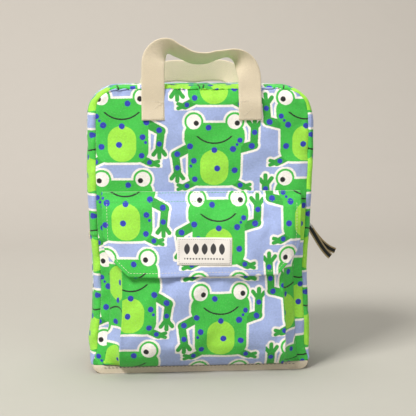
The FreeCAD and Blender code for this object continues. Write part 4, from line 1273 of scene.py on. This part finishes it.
# ------------------------------------------------------------------ back straps
YOKE_Z = middle("strap_yoke", Z)
YOKE_TALL = high("strap_yoke", Z) - low("strap_yoke", Z)
yoke_x = np.linspace(low("strap_yoke", X), high("strap_yoke", X), 90)
declare(sweep("strap_yoke_tape", on_face(yoke_x, YOKE_Z, 1, 1.1 * MM), [0, 0, 1.0],
              band_profile(YOKE_TALL, WEBBING_THICK), WEBBING), "cotton_webbing", ("strap_yoke",), "bag")
for name, step in (("yoke_stitches_upper", 1), ("yoke_stitches_lower", -1)):
    places = on_face(yoke_x[2:-2], YOKE_Z + step * (YOKE_TALL / 2 - 2 * MM), 1, 2.0 * MM)
    declare(stitch_row(name, places, [0, 1.0, 0], THREAD_PALE), "cotton_webbing", body="bag")

STRAP_TOP = joint_place("strap_left_swings")[Z]
STRAP_X = abs(joint_place("strap_left_swings")[X])
STRAP_Y = 58.2 * MM
SPLAY = math.radians(7)
PAD_WIDE = 48 * MM
PAD_THICK = 7 * MM
PAD_BOW = 22 * MM
PAD_FOOT = high("ladder_lock_left", Z) - 3 * MM
PAD_ROWS, PAD_COLUMNS = 110, 44
PAD_SEEDS = {-1: 41, 1: 42}
STRAP_WEBBING = band_profile(20 * MM, 1.6 * MM)


def strap_x(z):
    """How far out the strap's middle line lies at a height."""
    return STRAP_X + (STRAP_TOP - z) * math.tan(SPLAY)


def pad(name, side):
    """A quilted pad, thin and sewn at its edges, full in the middle; it bows out from yoke to ladder lock."""
    z = np.linspace(STRAP_TOP + 1 * MM, PAD_FOOT + 3 * MM, PAD_ROWS)
    share = (STRAP_TOP - z) / (STRAP_TOP - PAD_FOOT)
    bow = PAD_BOW * np.sin(np.clip(share, 0, 1) * math.pi) ** 1.15
    centres = stacked(side * strap_x(z), STRAP_Y + bow - 0.6 * MM * share, z)
    tangents = unit(np.gradient(centres, axis=0))
    across = unit(np.cross(tangents, [0, 1.0, 0]) * -1)
    across = unit(across - tangents * np.sum(across * tangents, axis=1, keepdims=True))
    above = np.cross(across, tangents)
    above *= np.sign(above[:, 1:2])
    turn = np.linspace(0, 2 * math.pi, PAD_COLUMNS, endpoint=False)
    flat_u = np.sign(np.cos(turn)) * np.abs(np.cos(turn)) ** 0.62
    flat_v = np.sign(np.sin(turn)) * np.abs(np.sin(turn)) ** 0.8
    end_taper = smooth(share / 0.05) * smooth((1 - share) / 0.06)
    half = (PAD_WIDE / 2) * (0.80 + 0.20 * smooth(share / 0.16)) * (0.62 + 0.38 * smooth((1 - share) / 0.22))
    full = PAD_THICK / 2 * (0.30 + 0.70 * end_taper) + relief(centres, (0.35, 22, PAD_SEEDS[side])) * end_taper
    wide, thick = flat_u * half[:, None], flat_v * full[:, None]
    verts = centres[:, None] + across[:, None] * wide[..., None] + above[:, None] * thick[..., None]
    uv = stacked(wide + (flat_v > 0) * 0.5, -lengths(centres)[:, None])
    obj = mesh_object(name, verts, capped_tube(PAD_ROWS, PAD_COLUMNS), PRINT, uv)
    return obj, [centres + across * s * (half * 0.985)[:, None] for s in (-1, 1)], above


def webbing_run(name, side, top, foot, depth):
    """A narrow webbing down the strap's line; depth gives its y from the heights and the share of its fall."""
    heights = np.linspace(top, foot, 40)
    fall = (top - heights) / (top - foot)
    return sweep(name, stacked(side * strap_x(heights), depth(heights, fall), heights), [1.0, 0, 0],
                 STRAP_WEBBING, WEBBING)


def strap(label, side):
    body = "strap_" + label
    pad_node, lower_node, tail_node, anchor_node = (
        f"{part}_{label}" for part in ("strap_pad", "lower_webbing", "webbing_tail", "strap_anchor"))
    obj, edges, above = pad("strap_pad_cloth_" + label, side)
    declare(obj, "printed_canvas", (pad_node,), body)
    for number, line in enumerate(edges):
        declare(sweep(f"strap_binding_{label}_{number}", line, above, fold_profile(4.6 * MM, 2.6 * MM), NATURAL),
                "natural_canvas", body=body)
    lower = webbing_run(
        "lower_webbing_band_" + label, side, high(lower_node, Z) + 8 * MM, low(lower_node, Z) - 6 * MM,
        lambda z, fall: np.interp(z, [24 * MM, 40 * MM, 80 * MM], [54.6 * MM, 55.2 * MM, 56.4 * MM]))
    declare(lower, "cotton_webbing", (lower_node,), between=("bag", body),
            start=(side * strap_x(40 * MM), 55 * MM, 36 * MM), end=(side * strap_x(70 * MM), 56 * MM, 70 * MM))
    tail = webbing_run("webbing_tail_band_" + label, side, high(tail_node, Z) + 4 * MM, low(tail_node, Z),
                       lambda z, fall: 59.6 * MM + 1.5 * MM * np.sin(fall * 3.4))
    declare(tail, "cotton_webbing", (tail_node,), body)
    foot, top = low(anchor_node, Z), high(anchor_node, Z)
    heights = np.linspace(foot, top, 12)
    halves = (high(anchor_node, X) - low(anchor_node, X)) / 2 * (1 - 0.28 * (heights - foot) / (top - foot))
    anchor = patch("strap_anchor_cloth_" + label, middle(anchor_node, X) + np.linspace(-1, 1, 24) * halves[:, None],
                   heights, lambda x, z: on_face(x, z, 1, 0.9 * MM), NATURAL, 1.4 * MM)
    declare(anchor, "natural_canvas", (anchor_node,), "bag")


strap("left", -1)
strap("right", 1)

# ------------------------------------------------------------------ CAD nodes that stay, with their own finish
CAD_FINISH = {
    "slider_body": METAL, "pull_tab": METAL, "ladder_lock_left": LOCK, "ladder_lock_right": LOCK,
    "back_foam": FOAM, "base_board": BOARD}
for node_name, material in CAD_FINISH.items():
    node_object = frame["nodes"][node_name]
    node_object.data.materials.clear()
    node_object.data.materials.append(material)
    rounding = node_object.modifiers.new("rounded", "BEVEL")
    rounding.width = (0.6 if material is LOCK else 0.3) * MM
    rounding.segments = 3
    rounding.limit_method = "ANGLE"


# ------------------------------------------------------------------ stage
def stage_material(name, floor_colour, wall_colour):
    """Matt paper with painted light: the rise behind is painted a little lighter and the floor darker, standing in
    for the light that falls unevenly on them.
    """
    material, tree, shader = new_material(name, 0.92)
    place = Plane(tree, add_node(tree, "TexCoord").outputs["Object"])
    # painted light: blends from the darker floor colour to the lighter rise colour
    share = (place.split()[1] * 0.8).maths("ADD", 0.0, clamp=True)
    colour = tint(tree, blend_colours(tree, share, floor_colour, wall_colour), (noise(tree, 30), 0.012))
    tree.links.new(colour, shader.inputs["Base Color"])
    return material


def sweep_floor(half=4.0, start=-3.0, bend=0.9, radius=0.8, top=4.0):
    """A floor that curves up into a backdrop."""
    profile = [(start, 0.0), (bend, 0.0)]
    turns = np.linspace(0.08, math.pi / 2, 16)
    profile += [(bend + radius * math.sin(a), radius - radius * math.cos(a)) for a in turns]
    profile += [(bend + radius, top)]
    verts = [(x, y, z) for y, z in profile for x in (-half, half)]
    faces = [[2 * i, 2 * i + 1, 2 * i + 3, 2 * i + 2] for i in range(len(profile) - 1)]
    # painted light: a darker floor colour and a lighter colour for the rise behind
    paper = stage_material("backdrop", linear(179, 176, 167), linear(193, 187, 179))
    mesh_object("floor", verts, faces, paper)


def area_light(name, place, size, power, colour=(1.0, 1.0, 1.0)):
    data = bpy.data.lights.new(name, "AREA")
    data.shape = "RECTANGLE"
    data.size = data.size_y = size
    data.energy = power
    data.color = colour
    light = bpy.data.objects.new(name, data)
    bpy.context.scene.collection.objects.link(light)
    aim_object(light, place, (0.0, 0.0, 0.15))


sweep_floor()
area_light("key", (-1.9, -1.9, 2.9), 1.1, 150, (1.0, 0.985, 0.96))
area_light("fill", (1.3, -1.9, 0.9), 1.6, 13, (0.97, 0.985, 1.0))
area_light("above", (0.0, 0.2, 2.2), 0.9, 19)
world = bpy.data.worlds.new("studio")
bpy.context.scene.world = world
world.use_nodes = True
world.node_tree.nodes["Background"].inputs["Color"].default_value = linear(224, 220, 212)
world.node_tree.nodes["Background"].inputs["Strength"].default_value = 0.27
bpy.context.scene.view_settings.view_transform = "Standard"
